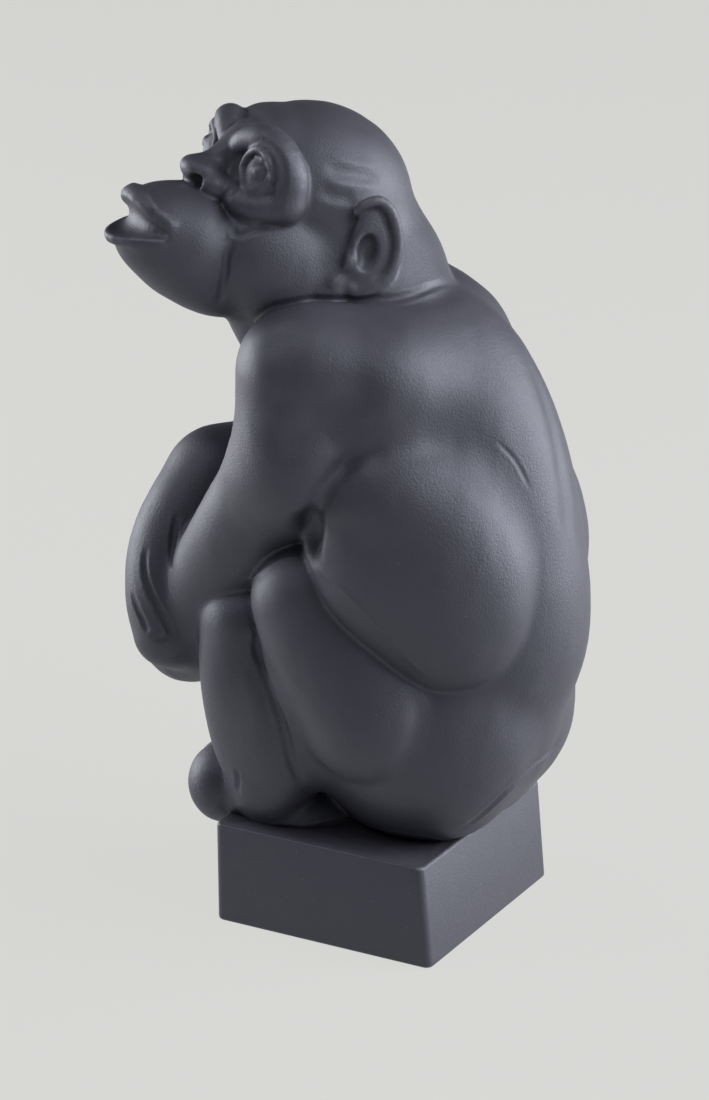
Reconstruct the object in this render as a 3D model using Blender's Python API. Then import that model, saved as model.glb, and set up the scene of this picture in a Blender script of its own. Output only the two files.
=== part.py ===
"""A squatting chimpanzee figurine, cast in one piece with its square block base.

The chimpanzee faces -Y, and +X is its left. It hugs its raised knees with its hands crossed before its
shins, and looks up over its left shoulder. The origin is the middle of the block's underside.

The figure is modelled as a sculptor lays clay. Each mass is pressed into the ones before it with its own
softness, and lines are then drawn into the surface. The clay is a signed distance, wrapped in a mesh on a
fine grid, thinned and joined to the block. Sizes are in millimetres, and the mesh is scaled to metres.
"""

from dataclasses import dataclass

import bmesh
import bpy
import numpy as np

MM = 0.001

# Block base
BASE_WIDTH = 50.6
BASE_DEPTH = 48.6
BASE_HEIGHT = 21.0
BASE_LEAN = 1.8
CORNER_ROUNDING = 1.6
CORNER_FACETS = 4
EDGE_ROUNDING = 0.6
EDGE_FACETS = 2

# The figure's own zero level lies this far under the block's top
SEAT = 0.4

# Head: where the face is, how far it is turned over the left shoulder and tipped up, in degrees
FACE = (12, -23.9, 133.7)
HEAD_TURN = 53
HEAD_TIP = 30

# Ear, as a place on the head
EAR = (-23.2, 18.6, -4.5)
EAR_TIP = -18

# Wrapping
GRID_STEP = 1.0
CELLS_A_BLOCK = 4
FIGURE_TRIANGLES = 11400
FAR = 50.0
SHARP_ANGLE = 40

# Black stoneware
STONEWARE_COLOUR = (0.045, 0.045, 0.055, 1)
STONEWARE_ROUGHNESS = 0.5


@dataclass(frozen=True)
class Egg:
    """An ellipsoid of clay, or a hollow scooped out of it."""

    centre: tuple
    radii: tuple
    blend: float
    hollow: bool = False


@dataclass(frozen=True)
class Limb:
    """A round limb along a smooth curve through (x, y, z, radius) points, or a groove of that shape."""

    points: list
    blend: float
    hollow: bool = False


@dataclass(frozen=True)
class Line:
    """A line drawn into the clay, or a ridge where its depth is negative."""

    points: list
    width: float
    depth: float


# Back and rump, in the figure's own frame: left, back and up
SPINE = Limb(
    [
        (-3, 3, 96, 14),
        (-2, 12, 91, 16.5),
        (-1, 18.5, 78, 18.3),
        (0, 22, 62, 19.4),
        (0, 23.5, 43, 19.7),
        (0, 18.5, 26, 18.2),
    ],
    5,
)
RUMP = Egg((0, 10, 25), (26, 27.5, 26), 3)
BELLY = Egg((0, -6, 36), (15, 22, 32), 3)
HAUNCH = Egg((9.5, 15, 25), (15.5, 21.5, 23), 3)
BUTTOCK = Egg((6, 10.5, 9.3), (12, 18, 11.6), 3)

# Trunk
LEFT_RIBS_PLACE = (13.3, 16, 60)
RIBS_LEAN = -24
LEFT_RIBS = Egg((0, 0, 0), (22, 17.2, 28.5), 5)
RIGHT_RIBS_PLACE = (13.3, 14.2, 60.5)
RIGHT_RIBS = Egg((0, 0, 0), (22, 15.8, 28), 5)
RIB_EDGE = Limb([(21, 12, 75, 7), (21.3, 8, 71, 8), (20.5, 7, 65, 8), (20, 9, 58, 8)], 10)
LEFT_SHOULDER_BLADE = Egg((10, 5, 92), (18, 18, 16), 5)
RIGHT_SHOULDER_BLADE = Egg((-14, 2, 92), (16, 18, 16), 5)
CHEST = Egg((0, -5, 78), (22, 18, 26), 5)

# Leg
THIGH = Limb(
    [
        (14.5, 8.5, 29.5, 17.3),
        (15.6, 4.5, 35.5, 16.3),
        (17.2, -0.5, 42.5, 14.6),
        (18.2, -4.2, 49.5, 12.9),
    ],
    0.8,
)
SHIN = Limb([(16, -20, 41, 10.5), (16, -20, 30, 10.8), (16, -19, 18, 9.8), (16, -16.5, 7, 7.8)], 0.8)
CALF = Egg((17.3, -11.2, 22.5), (10.1, 9, 17), 6)
INSTEP = Limb([(16, -14, 5, 6), (14, -22, 5, 7)], 1.2)
HEEL = Limb([(16, -16, 2.5, 5.5), (14, -8, 1, 5), (9, -3, 0, 4)], 1.2)
TOES = Egg((12, -28.5, 4), (9.5, 8, 8.6), 1)

# Arms
LEFT_UPPER_ARM = Limb([(19, -5, 95, 14), (20, -6, 86, 12.8), (21, -6, 77, 12)], 3)
LEFT_FOREARM = Limb(
    [
        (21, -4, 79, 11.4),
        (19, -11.5, 72.5, 11),
        (16.5, -20, 60.7, 10.8),
        (12.3, -29, 47.7, 10.6),
        (8.5, -35.7, 35.5, 10.2),
    ],
    7,
)
LEFT_HAND = Limb([(8.5, -35.7, 35.5, 10.2), (6, -40.5, 30.7, 9.4), (3, -44.5, 29.3, 8.8)], 2)
RIGHT_UPPER_ARM = Limb([(-20, -5, 94, 14), (-23, -8, 82, 12), (-24, -11, 70, 11)], 3)
RIGHT_FOREARM = Limb(
    [
        (-24, -11, 68, 11),
        (-18, -22, 66, 10.5),
        (-9, -32, 63.7, 10.2),
        (-1.5, -38.1, 62.3, 10.3),
    ],
    6,
)
RIGHT_HAND = Limb(
    [
        (-1.5, -38.1, 62.3, 10.3),
        (4.3, -40.6, 56.6, 9.8),
        (9.1, -42.3, 49.7, 9.2),
        (12.9, -41.7, 42.2, 8.5),
        (15.5, -39.7, 35, 7.4),
    ],
    2,
)

# Head, in its own frame: forward, left and up from between the eyes
NECK = Limb([(-1, 2, 98, 15.5), (-2.5, -8.5, 112.5, 15)], 1.5)
THROAT = Limb([(6.5, -19.7, 112, 11.4), (7.5, -18.5, 105, 10.6), (6.5, -14.5, 94, 9)], 1.5)
BRAINCASE = Egg((-18, 0, 0), (19.2, 18, 17), 3)
NAPE = Egg((-34.6, 0, -8.9), (17, 14.8, 14.4), 5)
MASTOID = Egg((-24, 10, -9), (11, 9.8, 10), 3)
FOREHEAD = Egg((-6, 0, -4), (8, 15.5, 10), 3)
GLABELLA = Egg((-4.5, -2, 5.6), (5, 11, 6), 2)
CHEEK = Egg((-16.5, 8, -14.5), (17, 11, 12.8), 1.5)
JAW = Egg((-4, 0, -22), (14, 11.8, 8.8), 2)
MUZZLE = Egg((2.5, 0, -19), (10.5, 12.5, 11), 1)
MUZZLE_FRONT = Egg((9.5, 0, -19.5), (7, 9, 8), 4)
MUZZLE_BLEND = 2.2
UPPER_LIP = Limb(
    [
        (10.5, 9, -17.2, 1),
        (13.6, 6, -16.2, 1.8),
        (15, 0, -15.7, 2.5),
        (13.6, -6, -16.2, 1.8),
        (10.5, -9, -17.2, 1),
    ],
    1,
)
LOWER_LIP = Limb(
    [
        (10.5, 8.5, -21.2, 1),
        (14, 5, -23.2, 1.3),
        (16, 0, -24.2, 1.4),
        (14, -5, -23.2, 1.3),
        (10.5, -8.5, -21.2, 1),
    ],
    1,
)
MOUTH = Limb(
    [
        (11, 9.5, -19.4, 0.7),
        (14.5, 6, -20.1, 2.1),
        (17, 0, -20.4, 3.6),
        (14.5, -6, -20.1, 2.1),
        (11, -9.5, -19.4, 0.7),
    ],
    0.6,
    True,
)
NOSE_BRIDGE = Limb([(0.5, 0, 4, 3), (3, 0, -2, 2.8), (4.6, 0, -5, 3)], 1.5)
NOSE = Egg((4.8, 0, -6), (5, 5.2, 3), 1.2)
NOSE_WING = Egg((3.6, 4.2, -7.3), (3.2, 2.7, 2.6), 0.8)
NOSTRIL = Egg((6.8, 3.4, -7.8), (1.8, 1.5, 1.4), 0.4, True)
BROW = Limb(
    [
        (1.6, 1.8, 0.6, 2),
        (1.9, 4.5, 3.2, 2.6),
        (0.8, 8.5, 4.8, 3.1),
        (-1.6, 12.4, 3.8, 3.5),
        (-4.3, 15, 0.6, 3.6),
        (-6, 15.4, -3.4, 3.3),
    ],
    1,
)
EYE = Egg((-0.7, 11.3, -0.9), (2.6, 2.7, 2.4), 0.5)
EYELIDS = Limb(
    [
        (1.9, 7.2, -1.6, 0.5),
        (2.1, 8, 0.8, 0.7),
        (2.3, 10, 2.3, 0.85),
        (1.9, 12.1, 2.7, 0.85),
        (0.9, 14, 1.9, 0.85),
        (-0.2, 14.9, 0.1, 0.85),
        (-0.8, 14.4, -2.2, 0.85),
        (-0.3, 13.2, -4, 0.85),
        (0.7, 11.4, -4.5, 0.85),
        (1.4, 9.1, -3.7, 0.7),
        (1.9, 7.2, -1.6, 0.5),
    ],
    0.5,
)
EYE_BAG = Limb([(1.2, 6, -6.5, 2), (0, 9.8, -7.6, 2.6), (-2.8, 13, -6.8, 2.8), (-6, 15.2, -5, 3)], 1.5)
EAR_DISC = Egg((-0.6, 0, 0), (4.4, 2, 9), 1.5)
EAR_RIM = Limb(
    [
        (3.6, 0.6, 6.8, 1),
        (2.2, 1.6, 8.5, 1.2),
        (-0.1, 2.2, 9.1, 1.3),
        (-2.9, 2.8, 6.4, 1.4),
        (-4.8, 3.1, 0.9, 1.4),
        (-3.9, 3, -4.4, 1.4),
        (-1.1, 2.6, -7.2, 1.5),
        (1.4, 1.7, -8.4, 1.4),
        (2.6, 1, -7.8, 1.2),
    ],
    0.6,
)
EAR_HOLLOW = Egg((0.2, 2.8, -1), (2.4, 2, 5), 1, True)
EAR_FOLD = Limb([(-1.2, 1.6, 5.4, 0.9), (-2.3, 1.8, 0.5, 1), (-0.8, 1.5, -4.3, 0.9)], 0.8)
TRAGUS = Egg((2.9, 1.3, -2.6), (1.4, 1.4, 2.2), 0.8)
LOBE = Egg((-21.5, 17.3, -14), (3.5, 3, 3.8), 2)

# Lines: the muzzle, the temple and the ridge under the ear on the head, the rest on the body
MUZZLE_LINE = Line(
    [
        (-1.8, 12.2, -13.3),
        (-2.4, 11.1, -18.4),
        (-3.3, 10.7, -22.3),
        (-5.3, 8.6, -25.9),
    ],
    0.9,
    0.8,
)
TEMPLE_LINE = Line([(-9.5, 15, 4.9), (-12.8, 15.6, 5.8), (-17, 15.8, 6.8), (-21, 15, 7.8)], 1.1, 0.4)
EAR_RIDGE = Line([(-19.7, 21.9, -6.9), (-19.7, 21.3, -11.3), (-19.6, 19.3, -14.7)], 0.9, -0.7)
FINGER_LINES = [
    Line(
        [
            (16.9, -43.3, 53.5),
            (18.2, -43.2, 50.3),
            (19.5, -42.3, 47.3),
            (20.7, -39.8, 43.3),
            (20.9, -37.5, 39.6),
            (21, -36.3, 36.9),
            (21.9, -38.1, 36),
            (22.1, -39.8, 36.6),
        ],
        0.8,
        0.8,
    ),
    Line([(20, -45.4, 43.6), (21.4, -42.7, 40.3), (22, -40.3, 36.9)], 0.8, 0.7),
    Line([(13.5, -38.5, 59.7), (15.2, -38.5, 55.4), (17, -37.5, 52), (19.5, -35.5, 49.5)], 0.8, 0.6),
]
FIST_GROOVES = (-2, 1.7, 5.4)
FIST_CURL = [(-48, 37), (-52.5, 32), (-53, 27), (-48, 21.5)]
TOE_GROOVES = (6.2, 9.8, 13.4)
TOE_CURL = [(-31, 12.5), (-35.5, 9), (-37, 4), (-35.5, -1), (-31, -4.5)]
GROOVE_WIDTH = 0.8
GROOVE_DEPTH = 0.9
RUMP_LINE = Line([(-7, 36.3, 19.5), (5.8, 35.9, 17.8), (12.8, 32.9, 13.5), (14.2, 23.9, 4.7)], 0.9, 0.6)
SHOULDER_LINES = [
    Line([(24.1, 11.8, 99.8), (27.8, 9.2, 93.8), (30.9, 2.3, 87.8), (33.9, -6.4, 83.8)], 3.5, 1),
    Line([(27, -7.1, 106.2), (32.1, -2.9, 99.5), (32.7, -3.1, 89.9)], 4, 0.7),
]
RIB_LINE = Line([(26, 0.6, 69), (31.4, 10.6, 69.4), (30.3, 18.5, 65)], 3, 0.5)
SPINE_LINE = Line(
    [
        (-5.7, 27, 98.4),
        (-4.8, 31.8, 91.4),
        (-2.3, 36.6, 81.9),
        (-0.1, 40, 71.1),
        (1.9, 42, 59.9),
    ],
    2,
    0.5,
)
FOOT_LINE = Line([(25.8, -18.7, 13.5), (25, -18.7, 10.7), (23.6, -19.9, 7.3)], 0.9, 0.6)
NECK_LINE = Line(
    [
        (20.8, -15.7, 104.8),
        (22.2, -11.6, 107.7),
        (19.9, -6.4, 109),
        (13.7, -1.2, 108.7),
        (8.4, 8.7, 108.9),
        (-4.5, 12.6, 109.2),
    ],
    0.9,
    0.5,
)
ELBOW_HOLLOW = Egg((29.3, 1.8, 65.2), (4, 2.3, 5.4), 1.5, True)

# How softly the trunk and the arms meet the back: crisply below and softly at the shoulders
FLANK_LEVEL = 50
FLANK_BLEND = 0.8
ARMPIT_LEVEL = 82
ARMPIT_BLEND = 1.2
SHOULDER_LEVEL = 94
SHOULDER_BLEND = 5
HEAD_BLEND = 0.8


def softer_above(low_level, low_blend, high_level, high_blend):
    """A blend radius that grows with the height."""

    def blend(heights):
        return np.interp(heights, (low_level, high_level), (low_blend, high_blend)).astype(np.float32)

    return blend


def smooth_curve(points, spacing=1.6):
    """Points along a smooth curve through the given ones, with any radii carried as a last column."""
    knots = np.array(points, float)
    ends = np.vstack([2 * knots[0] - knots[1], knots, 2 * knots[-1] - knots[-2]])
    found = []
    for before, first, second, after in zip(ends, ends[1:], ends[2:], ends[3:]):
        pieces = max(3, int(np.linalg.norm(second[:3] - first[:3]) / spacing))
        for t in np.arange(pieces) / pieces:
            bend = 2 * first + (second - before) * t + (2 * before - 5 * first + 4 * second - after) * t**2
            found.append((bend + (3 * first - before - 3 * second + after) * t**3) / 2)
    return np.vstack([found, knots[-1:]])


def chain_distance(points, joints, radii):
    """How far each point is outside a chain of balls of these radii, drawn smoothly from joint to joint."""
    best = np.full(len(points), np.inf, np.float32)
    for start, end, first, second in zip(joints, joints[1:], radii, radii[1:]):
        length = np.linalg.norm(end - start)
        taper = np.clip((second - first) / length, -0.9, 0.9)
        from_start = points - start
        along = from_start @ ((end - start) / length)
        aside = np.sqrt(np.maximum((from_start * from_start).sum(axis=1) - along * along, 0))
        nearest = np.clip(along + aside * taper / np.sqrt(1 - taper * taper), 0, length)
        best = np.minimum(best, np.hypot(aside, along - nearest) - first - taper * nearest)
    return best


class Place:
    """Where masses are laid: an origin and three axes, in the figure's own frame."""

    def __init__(self, origin=(0, 0, 0), axes=np.eye(3), left=0):
        self.origin = np.array(origin, float)
        self.axes = np.array(axes, float)
        self.left = left

    def tipped(self, origin, turn_left, tip_up):
        """A place inside this one, whose axes run forward, left and up, turned and tipped."""
        turn, tip = np.radians([turn_left, tip_up])
        forward = np.array([np.sin(turn) * np.cos(tip), -np.cos(turn) * np.cos(tip), np.sin(tip)])
        left = np.array([np.cos(turn), np.sin(turn), 0.0])
        return Place(self.out(origin), np.array([forward, left, np.cross(forward, left)]), 1)

    def side(self, sign):
        """This place for the left side, or its mirror image for the right side."""
        axes = self.axes.copy()
        axes[self.left] *= sign
        return Place(self.origin, axes, self.left)

    def out(self, points):
        """Local points in the figure's own frame."""
        return self.origin + np.array(points, float) @ self.axes


class Clay:
    """Masses, laid in order, and the lines drawn into them."""

    def __init__(self):
        self.steps = []

    def lay(self, thing, place=Place()):
        """Lays an egg or a limb, or takes it away where it is hollow."""
        if isinstance(thing, Egg):
            low, high, distance = egg_distance(thing, place)
        else:
            low, high, distance = limb_distance(thing, place)
        sign = -1 if thing.hollow else 1
        self.steps.append((low - thing.blend, high + thing.blend, distance, thing.blend, sign))

    def lay_pair(self, thing, place=Place()):
        """Lays a mass on the left side and its mirror image on the right."""
        for sign in (1, -1):
            self.lay(thing, place.side(sign))

    def join(self, other, blend):
        """Adds another body of clay as one mass. blend may be a function of the height."""
        low = np.min([step[0] for step in other.steps], axis=0)
        high = np.max([step[1] for step in other.steps], axis=0)
        self.steps.append((low, high, other.distance, blend, 1))

    def draw(self, line, place=Place()):
        """Draws a line. Its points are settled onto the surface first."""
        joints = settled(self.distance, place.out(smooth_curve(line.points)))
        reach = 3 * line.width

        def change(points, _):
            far = chain_distance(points, joints, np.zeros(len(joints)))
            return line.depth * np.exp(-((far / line.width) ** 2))

        self.steps.append((joints.min(axis=0) - reach, joints.max(axis=0) + reach, change, 0, 0))

    def distance(self, points, reach=2.0):
        """How far each point is outside the clay, for points that lie within reach of its surface."""
        points = np.asarray(points, np.float32)
        total = np.full(len(points), FAR, np.float32)
        for low, high, shape, blend, sign in self.steps:
            margin = reach if sign else 0.0
            near = ((points > low - margin) & (points < high + margin)).all(axis=1).nonzero()[0]
            if not len(near):
                continue
            value = shape(points[near], reach)
            softness = blend(points[near, 2]) if callable(blend) else blend
            if sign > 0:
                total[near] = soft_min(total[near], value, softness)
            elif sign < 0:
                total[near] = -soft_min(-total[near], value, softness)
            else:
                total[near] += value
        return total


def egg_distance(egg, place):
    """The box that an egg fills and its distance."""
    centre = place.out(egg.centre)
    radii = np.array(egg.radii, np.float32)
    axes = place.axes.astype(np.float32)
    half = np.sqrt(((axes * radii[:, None]) ** 2).sum(axis=0))

    def distance(points, _):
        local = (points - centre) @ axes.T
        near = np.linalg.norm(local / radii, axis=1)
        steepness = np.linalg.norm(local / radii**2, axis=1)
        return near * (near - 1) / np.maximum(steepness, 1e-6)

    return centre - half, centre + half, distance


def limb_distance(limb, place):
    """The box that a limb fills and its distance."""
    chain = smooth_curve(limb.points)
    joints = place.out(chain[:, :3]).astype(np.float32)
    radii = chain[:, 3].astype(np.float32)

    def distance(points, _):
        return chain_distance(points, joints, radii)

    return (joints - radii[:, None]).min(axis=0), (joints + radii[:, None]).max(axis=0), distance


def soft_min(first, second, blend):
    """The union of two distances, rounded where they meet."""
    near = np.maximum(blend - np.abs(first - second), 0) / blend
    return np.minimum(first, second) - near * near * blend / 4


def slope(distance, points, step=0.05):
    """Which way the distance grows, and how fast."""
    found = np.empty((len(points), 3), np.float32)
    for axis in range(3):
        shift = np.zeros(3, np.float32)
        shift[axis] = step
        found[:, axis] = (distance(points + shift) - distance(points - shift)) / (2 * step)
    return found


def settled(distance, points, rounds=4):
    """Points moved onto the surface."""
    points = np.array(points, np.float32)
    for _ in range(rounds):
        way = slope(distance, points)
        steep = np.maximum((way * way).sum(axis=1), 0.2)
        points = points - way * (distance(points) / steep)[:, None]
    return points


def sampled(distance, low, high, step):
    """Distances on a grid, exact in the blocks near the surface and one rough value in each other block."""
    side = step * CELLS_A_BLOCK
    counts = np.ceil((high - low) / side).astype(int) + 1
    blocks = np.stack(np.meshgrid(*[np.arange(n) for n in counts], indexing="ij"), axis=-1).reshape(-1, 3)
    rough = distance(low + (blocks + 0.5) * side - step / 2, 3 * side).reshape(counts)
    near = np.argwhere(np.abs(rough) < 2 * side)
    values = rough
    for axis in range(3):
        values = values.repeat(CELLS_A_BLOCK, axis=axis)
    cells = np.stack(np.meshgrid(*[np.arange(CELLS_A_BLOCK)] * 3, indexing="ij"), axis=-1).reshape(-1, 3)
    places = (near[:, None] * CELLS_A_BLOCK + cells).reshape(-1, 3)
    values[tuple(places.T)] = distance(low + places * step, 3 * step)
    return values


def without_pinches(inside):
    """Fills the samples that would make the surface touch itself along an edge or at a point."""
    inside = inside.copy()
    changed = True
    while changed:
        changed = False
        for first, second in ((0, 1), (0, 2), (1, 2)):
            view = np.moveaxis(inside, (first, second), (0, 1))
            a, b, c, d = view[:-1, :-1], view[1:, :-1], view[:-1, 1:], view[1:, 1:]
            rising = a & d & ~b & ~c
            falling = b & c & ~a & ~d
            if rising.any() or falling.any():
                b |= rising
                a |= falling
                changed = True
        for flip in ((1, 1, 1), (-1, 1, 1), (1, -1, 1), (1, 1, -1)):
            view = inside[:: flip[0], :: flip[1], :: flip[2]]
            corners = [
                view[x : x - 1 or None, y : y - 1 or None, z : z - 1 or None]
                for x in (0, 1)
                for y in (0, 1)
                for z in (0, 1)
            ]
            count = sum(corner.astype(np.int8) for corner in corners)
            pair = (count == 2) & corners[0] & corners[7]
            gap = (count == 6) & ~corners[0] & ~corners[7]
            if pair.any() or gap.any():
                corners[1] |= pair
                corners[0] |= gap
                changed = True
    return inside


def wrapped(distance, low, high, step):
    """The surface as vertices and quads: one vertex in each grid cell that it crosses, then settled."""
    values = sampled(distance, low, high, step)
    inside = without_pinches(values < 0)
    values = np.where(inside, np.minimum(values, -step / 50), np.maximum(values, step / 50))
    shape = np.array(inside.shape) - 1
    corners = [(x, y, z) for x in (0, 1) for y in (0, 1) for z in (0, 1)]
    count = np.zeros(shape, np.int8)
    for corner in corners:
        count += inside[tuple(slice(c, c + n) for c, n in zip(corner, shape))]
    cells = np.argwhere((count > 0) & (count < 8))
    total = np.zeros((len(cells), 3))
    hits = np.zeros(len(cells))
    for corner in corners:
        for axis in range(3):
            if corner[axis]:
                continue
            other = np.array(corner)
            other[axis] = 1
            here = values[tuple((cells + corner).T)]
            there = values[tuple((cells + other).T)]
            crosses = (here < 0) != (there < 0)
            share = np.where(crosses, here / np.where(crosses, here - there, 1), 0)
            point = np.array(corner) + share[:, None] * (other - corner)
            total += point * crosses[:, None]
            hits += crosses
    vertices = low + (cells + total / hits[:, None]) * step
    number = np.full(shape, -1)
    number[tuple(cells.T)] = np.arange(len(cells))
    quads = []
    for axis in range(3):
        ahead = np.roll([1, 0, 0], axis)
        second, third = np.roll(np.eye(3, dtype=int), -axis, axis=0)[1:]
        start = inside[tuple(slice(0, n) for n in shape)]
        end = inside[tuple(slice(a, a + n) for a, n in zip(ahead, shape))]
        for leaving in (True, False):
            edges = np.argwhere((start & ~end) if leaving else (end & ~start))
            ring = [edges - second - third, edges - third, edges, edges - second]
            quad = np.stack([number[tuple(place.T)] for place in ring], axis=1)
            quads.append(quad if leaving else quad[:, ::-1])
    return settled(distance, vertices, 2), np.vstack(quads)


def back():
    """Spine, rump and belly."""
    clay = Clay()
    clay.lay(SPINE)
    clay.lay(RUMP)
    clay.lay_pair(HAUNCH)
    clay.lay_pair(BUTTOCK)
    clay.lay(BELLY)
    return clay


def trunk():
    """Ribs, shoulder blades and chest."""
    clay = Clay()
    clay.lay(LEFT_RIBS, Place().tipped(LEFT_RIBS_PLACE, 0, RIBS_LEAN))
    clay.lay(RIGHT_RIBS, Place().side(-1).tipped(RIGHT_RIBS_PLACE, 0, RIBS_LEAN))
    clay.lay_pair(RIB_EDGE)
    clay.lay(LEFT_SHOULDER_BLADE)
    clay.lay(RIGHT_SHOULDER_BLADE)
    clay.lay(CHEST)
    return clay


def lay_legs(figure):
    """Thighs, shins and feet, the toes hanging over the block's front edge."""
    for sign in (1, -1):
        left_side = Place().side(sign)
        figure.lay(THIGH, left_side)
        figure.lay(SHIN, left_side)
        figure.lay(CALF, left_side)
        figure.lay(INSTEP, left_side)
        figure.lay(HEEL, left_side)
        figure.lay(TOES, left_side)


def lay_arms(figure):
    """Arms round the knees, the right hand hung over the left wrist."""
    for masses in ((RIGHT_UPPER_ARM, RIGHT_FOREARM), (LEFT_UPPER_ARM, LEFT_FOREARM, LEFT_HAND)):
        arm = Clay()
        for mass in masses:
            arm.lay(mass)
        figure.join(arm, softer_above(ARMPIT_LEVEL, ARMPIT_BLEND, SHOULDER_LEVEL, SHOULDER_BLEND))
    figure.lay(RIGHT_HAND)


def head():
    """Head and neck."""
    clay = Clay()
    clay.lay(NECK)
    clay.lay(THROAT)
    face = Place().tipped(FACE, HEAD_TURN, HEAD_TIP)
    for mass in (BRAINCASE, NAPE, FOREHEAD, GLABELLA):
        clay.lay(mass, face)
    clay.lay_pair(MASTOID, face)
    clay.lay_pair(CHEEK, face)
    clay.lay_pair(LOBE, face)
    clay.lay(JAW, face)
    muzzle = Clay()
    muzzle.lay(MUZZLE, face)
    muzzle.lay(MUZZLE_FRONT, face)
    clay.join(muzzle, MUZZLE_BLEND)
    for mass in (UPPER_LIP, LOWER_LIP, MOUTH, NOSE_BRIDGE, NOSE):
        clay.lay(mass, face)
    for mass in (NOSE_WING, NOSTRIL, BROW, EYE, EYELIDS, EYE_BAG):
        clay.lay_pair(mass, face)
    for sign in (1, -1):
        place = face.side(sign)
        upright = Place().tipped(FACE, HEAD_TURN, HEAD_TIP + EAR_TIP).side(sign)
        ear = Place(place.out(EAR), upright.axes, upright.left)
        for mass in (EAR_DISC, EAR_RIM, EAR_HOLLOW, EAR_FOLD, TRAGUS):
            clay.lay(mass, ear)
        clay.draw(MUZZLE_LINE, place)
        clay.draw(TEMPLE_LINE, place)
        clay.draw(EAR_RIDGE, place)
    return clay


def draw_grooves(figure):
    """Grooves between the toes of both feet and between the fingers of the left hand."""
    for curl, across in ((FIST_CURL, FIST_GROOVES), (TOE_CURL, TOE_GROOVES)):
        for x in across:
            groove = Line([(x, y, z) for y, z in curl], GROOVE_WIDTH, GROOVE_DEPTH)
            figure.draw(groove)
            if curl is TOE_CURL:
                figure.draw(groove, Place().side(-1))


def modelled():
    """The whole figure in clay."""
    figure = back()
    figure.join(trunk(), softer_above(FLANK_LEVEL, FLANK_BLEND, SHOULDER_LEVEL, SHOULDER_BLEND))
    lay_legs(figure)
    lay_arms(figure)
    for sign in (1, -1):
        figure.lay(ELBOW_HOLLOW, Place().side(sign))
    for line in (*FINGER_LINES, *SHOULDER_LINES, RUMP_LINE, RIB_LINE, SPINE_LINE, FOOT_LINE):
        figure.draw(line)
    draw_grooves(figure)
    figure.join(head(), HEAD_BLEND)
    figure.draw(NECK_LINE)
    return figure


def figure_object():
    """The figure as a mesh object, thinned."""
    clay = modelled()
    low = np.min([step[0] for step in clay.steps], axis=0) - 2 * GRID_STEP
    high = np.max([step[1] for step in clay.steps], axis=0) + 2 * GRID_STEP
    points, faces = wrapped(clay.distance, low, high, GRID_STEP)
    points[:, 2] += BASE_HEIGHT - SEAT
    mesh = bpy.data.meshes.new("chimpanzee_figurine")
    mesh.from_pydata((points * MM).tolist(), [], faces.tolist())
    mesh.validate()
    figure = bpy.data.objects.new("chimpanzee_figurine", mesh)
    bpy.context.scene.collection.objects.link(figure)
    thin = figure.modifiers.new("thin", "DECIMATE")
    thin.ratio = FIGURE_TRIANGLES / (2 * len(faces))
    return figure


def round_edges(bm, edges, size, facets):
    """Rounds these edges by this size."""
    bmesh.ops.bevel(bm, geom=edges, offset=size * MM, segments=facets, affect="EDGES", profile=0.5)


def block_object():
    """The block base, its back face leaning in towards the top."""
    bm = bmesh.new()
    bmesh.ops.create_cube(bm, size=1)
    for vertex in bm.verts:
        vertex.co.x *= BASE_WIDTH
        vertex.co.y *= BASE_DEPTH
        if vertex.co.y > 0 and vertex.co.z > 0:
            vertex.co.y -= BASE_LEAN
        vertex.co.z = (vertex.co.z + 0.5) * BASE_HEIGHT
        vertex.co *= MM
    rise = BASE_HEIGHT * MM / 2
    upright = [edge for edge in bm.edges if abs(edge.verts[0].co.z - edge.verts[1].co.z) > rise]
    round_edges(bm, upright, CORNER_ROUNDING, CORNER_FACETS)
    sharp = [edge for edge in bm.edges if edge.calc_face_angle() > np.radians(SHARP_ANGLE)]
    round_edges(bm, sharp, EDGE_ROUNDING, EDGE_FACETS)
    mesh = bpy.data.meshes.new("block")
    bm.to_mesh(mesh)
    bm.free()
    block = bpy.data.objects.new("block", mesh)
    bpy.context.scene.collection.objects.link(block)
    return block


def stoneware():
    """Unglazed black stoneware."""
    material = bpy.data.materials.new("black_stoneware")
    material.use_nodes = True
    surface = material.node_tree.nodes["Principled BSDF"]
    surface.inputs["Base Color"].default_value = STONEWARE_COLOUR
    surface.inputs["Roughness"].default_value = STONEWARE_ROUGHNESS
    surface.inputs["Metallic"].default_value = 0.0
    return material


def main():
    """Casts the figure and its block in one."""
    for old in list(bpy.data.objects):
        bpy.data.objects.remove(old)
    figure = figure_object()
    block = block_object()
    block.hide_render = True
    block.hide_set(True)
    cast = figure.modifiers.new("cast in one", "BOOLEAN")
    cast.operation = "UNION"
    cast.solver = "MANIFOLD"
    cast.object = block
    figure.data.materials.append(stoneware())
    figure.data.shade_smooth()
    figure.data.set_sharp_from_angle(angle=np.radians(SHARP_ANGLE))


main()
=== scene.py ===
"""The look of a black stoneware chimpanzee figurine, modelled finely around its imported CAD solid.

The carving is laid as clay in the same masses as the solid, wrapped on a finer grid, with the fine lines
that the solid leaves out: wrinkles, lids, the slits between the fingers and the worn lips along the
creases. The figure's own frame is in millimetres, with +X its left, -Y before it and +Z up.
"""

from __future__ import annotations

import logging
from dataclasses import dataclass
from enum import Enum
from typing import Callable

import bmesh
import bpy
import numpy as np
from mathutils import Matrix, Vector

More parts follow.
